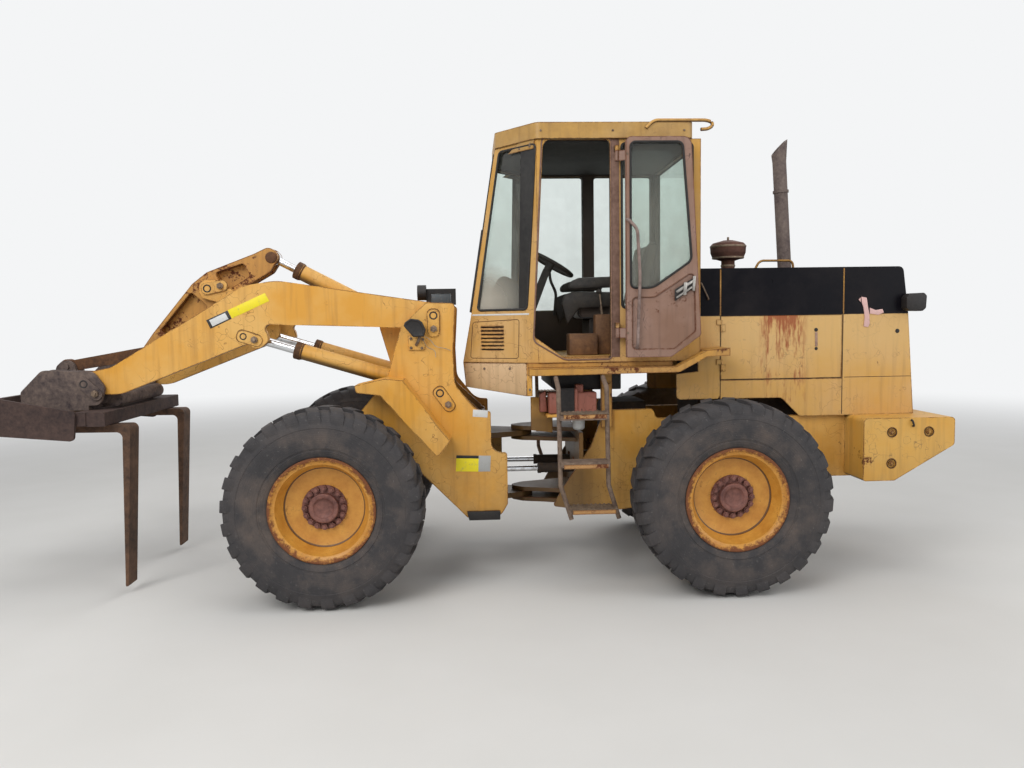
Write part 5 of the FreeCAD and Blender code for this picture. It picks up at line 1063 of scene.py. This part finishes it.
for index, (x, y) in enumerate(((-0.600, 0.275), (-0.600, 0.320))):
    stick = bent_tube(f"lever_{index}", [(x + hitch_x, y, 1.925), (x + hitch_x + 0.02, y, 2.09)], 0.006, 0)
    finish_piece(stick, bolt_steel, "rear_body")
    clear_selection()
    bpy.ops.mesh.primitive_uv_sphere_add(segments=20, ring_count=12, radius=0.018,
                                         location=(x + hitch_x + 0.021, y, 2.10))
    knob = bpy.context.object
    knob.name = f"lever_knob_{index}"
    bpy.ops.object.transform_apply(location=True)
    bpy.ops.object.shade_smooth()
    finish_piece(knob, inside_black, "rear_body")
# Worn black seat: the cushion's thick side and the armrests beside it.
seat_sides = (
    # name, corners in x and z from the hitch, inner face, thickness
    ("bolster", ((-0.340, 1.850), (-0.296, 2.020), (-0.322, 2.082), (-0.390, 2.104), (-0.680, 2.098),
                 (-0.680, 1.985), (-0.430, 1.975)), 0.238, 0.050),
    ("armrest", ((-0.352, 2.118), (-0.350, 2.160), (-0.378, 2.184), (-0.425, 2.204), (-0.700, 2.212),
                 (-0.700, 2.130)), 0.265, 0.055),
)
for name, corners, face_y, thick in seat_sides:
    for side, hand in both_hands:
        fit_plate(f"seat_{name}_{hand}", corners, side * face_y, side * thick, 0.020, inside_black)
fit_tube("control_lever", ((-0.300, -0.25, 1.93), (-0.318, -0.25, 2.131), (-0.272, -0.25, 2.190),
                           (-0.262, -0.25, 2.300)), 0.012, 0.05, inside_black)


# Seat: two pads of worn woven cloth, blown up and settled as cloth, with
# piping along their side seams.
def seat_weave():
    material, node, where = new_material("seat_weave")
    # Threads of 2 mm, crossing.
    warp = node("TexWave", {"Vector": where, "Scale": 80.0, "Distortion": 0.4}, bands_direction="X")
    weft = node("TexWave", {"Vector": where, "Scale": 80.0, "Distortion": 0.4}, bands_direction="Y")
    thread = node("Math", {0: warp.outputs["Fac"], 1: weft.outputs["Fac"]}, operation="MULTIPLY")
    worn = node("TexNoise", {"Vector": where, "Scale": 7.0, "Detail": 6.0, "Roughness": 0.6})
    tone = node("Mix", {0: worn, 6: "#241E1C", 7: "#5A4C42"}, data_type="RGBA")
    bump = node("Bump", {"Height": thread, "Strength": 0.35, "Distance": 0.0006})
    cloth = node("BsdfPrincipled", {
        "Base Color": tone, "Roughness": 0.92, "Sheen Weight": 0.3, "Normal": bump})
    node("OutputMaterial", {"Surface": cloth})
    return material


weave = seat_weave()
pads = (
    # name, corners in x and z from the hitch
    ("seat_pad", ((-0.915, 1.906), (-0.452, 1.906), (-0.430, 1.930), (-0.432, 1.975), (-0.455, 1.993),
                  (-0.835, 1.985), (-0.925, 1.960))),
    ("back_pad", ((-0.945, 1.985), (-0.862, 2.005), (-0.965, 2.445), (-0.990, 2.466), (-1.035, 2.458),
                  (-1.043, 2.430))),
)
for name, corners in pads:
    pad = cut_plate(name, side_view(corners, -0.228), (0, 0.456, 0), 0.012)
    remesh = pad.modifiers.new("voxels", "REMESH")
    remesh.mode = "VOXEL"
    remesh.voxel_size = 0.007
    apply_modifiers(pad)
    start = [vertex.co.copy() for vertex in pad.data.vertices]
    blow = pad.modifiers.new("blow", "CLOTH")
    blow.settings.use_pressure = True
    blow.settings.uniform_pressure_force = 4.0
    blow.settings.effector_weights.gravity = 0.0
    for step in range(1, 21):
        scene.frame_set(step)
    apply_modifiers(pad)
    scene.frame_set(1)
    for vertex, at in zip(pad.data.vertices, start):
        way = vertex.co - at
        if way.length > 0.010:
            way *= 0.010 / way.length
        vertex.co = at + way
        vertex.co.z = max(vertex.co.z, 1.901)
        vertex.co.y = max(-0.239, min(0.239, vertex.co.y))
    bpy.ops.object.shade_smooth()
    finish_piece(pad, weave, "rear_body", ("seat_cushion",))
    for side, hand in both_hands:
        seam = bent_tube(f"{name}_piping_{hand}", side_view(corners, side * 0.229),
                         0.005, 0.01, closed=True)
        finish_piece(seam, seal_rubber, "rear_body")


# Platforms and ladders: yellow channel with a worn tread, rusty tube rails,
# and folded steps with teeth punched up along their edges.
finish_node(weathered_enamel("platform_yellow", "#C48F3A", "#B98B4C", "#75502C", rust_level=0.60, dirt_top=1.7),
            "platforms")
rail_rust = rusty_steel("rail_rust", "#54423A", "#94806E", bump_size=36.0)
finish_node(rail_rust, "ladders")
tread_steel = rusty_steel("tread_steel", "#4A3A30", "#8E7B66", rough=0.7, metal=0.3)
step_yellow = weathered_enamel("step_yellow", "#C39250", "#B98A5A", "#6B4226", rust_level=0.55, dirt_top=1.6)
step_rows = (
    # name, height from the ground, front and rear ends in x from the hitch
    ("high", 1.262, -0.205, -0.535), ("middle", 0.924, -0.205, -0.545), ("low", 0.612, -0.262, -0.595),
)
for name, z, x0, x1 in step_rows:
    teeth = []
    for index in range(11):
        x = x0 - 0.014 - index * (x0 - x1 - 0.028) / 10
        for row, y in enumerate((0.835, 0.900, 0.965)):
            clear_selection()
            bpy.ops.mesh.primitive_cone_add(vertices=8, radius1=0.009, radius2=0.006, depth=0.007,
                                            location=(x + hitch_x, y, z))
            teeth.append(bpy.context.object)
    lip = cut_plate(f"step_lip_{name}", [(x + hitch_x, y, z - 0.004) for x, y in (
        (x0 - 0.003, 0.8385), (x0 - 0.003, 0.9905), (x1 + 0.003, 0.9905), (x1 + 0.003, 0.8385))], (0, 0, 0.004))
    front = cut_plate(f"step_front_{name}", [(x + hitch_x, 0.9885, a) for x, a in (
        (x0 - 0.020, z - 0.034), (x0 - 0.020, z - 0.006), (x1 + 0.020, z - 0.006), (x1 + 0.020, z - 0.034))],
        (0, 0.0025, 0))
    finish_piece(front, step_yellow, "rear_body")
    finish_piece(copied(front, mirror), step_yellow, "rear_body")
    teeth.append(lip)
    grip = join_all(f"step_teeth_{name}", teeth)
    bpy.ops.object.transform_apply(location=True, rotation=True, scale=True)
    finish_piece(grip, tread_steel, "rear_body")
    finish_piece(copied(grip, mirror), tread_steel, "rear_body")


# Below the cab, in the gap between the frames: the pinkish oil box with its black
# cover, two yellow plates, the floor pan and the filter bowl.
oil_pink = weathered_enamel("oil_pink", "#8E4B3A", "#A8695A", "#4C2C20", rust_level=0.62, dirt_top=1.5)
fit_plate("oil_box", (
    (-0.515, 1.215), (-0.165, 1.215), (-0.165, 1.370), (-0.515, 1.370)),
          0.452, 0.118, 0.010, oil_pink)
pink_bits = (
    # name, corners in x and z from the hitch, inner face, thickness
    ("oil_box_neck", ((-0.420, 1.355), (-0.365, 1.355), (-0.365, 1.425), (-0.420, 1.425)), 0.470, 0.080),
    ("oil_box_rear", ((-0.160, 1.225), (-0.105, 1.225), (-0.105, 1.360), (-0.150, 1.380)), 0.455, 0.060),
    ("oil_box_post", ((-0.378, 1.205), (-0.352, 1.205), (-0.352, 1.400), (-0.378, 1.400)), 0.565, 0.014),
)
# The cab's floor pan, coloured black as painted shade of the cab over the gap.
fit_plate("floor_pan", (
    (-0.200, 1.400), (-0.230, 1.375), (-0.720, 1.375), (-0.720, 1.545), (-0.200, 1.545)),
          -0.420, 0.840, 0.008, black_iron)
fit_plate("oil_box_cover", (
    (-0.352, 1.228), (-0.235, 1.228), (-0.235, 1.402), (-0.352, 1.402)),
          0.568, 0.008, 0.003, black_iron)
for name, corners, face_y, thick in pink_bits:
    fit_plate(name, corners, face_y, thick, 0.006, oil_pink)
fit_plate("oil_box_shelf", (
    (-0.560, 1.190), (-0.150, 1.190), (-0.150, 1.214), (-0.560, 1.214)),
          0.300, 0.275, 0.003, machine_yellow)
fit_plate("shelf_plate", (
    (-0.205, 1.065), (-0.045, 1.085), (-0.045, 1.330), (-0.205, 1.330)),
          0.430, 0.018, 0.003, machine_yellow)
cx, cz = -0.395 + hitch_x, 1.085
bowl = turned("filter_bowl", [
    (cx, 0.47, cz), (cx + 0.030, 0.47, cz + 0.002), (cx + 0.043, 0.47, cz + 0.014),
    (cx + 0.046, 0.47, cz + 0.080),
    (cx + 0.056, 0.47, cz + 0.084), (cx + 0.056, 0.47, cz + 0.106), (cx, 0.47, cz + 0.106)],
    (cx, 0.47, cz), (0, 0, 1), steps=40)
finish_piece(bowl, film_grey, "rear_body")
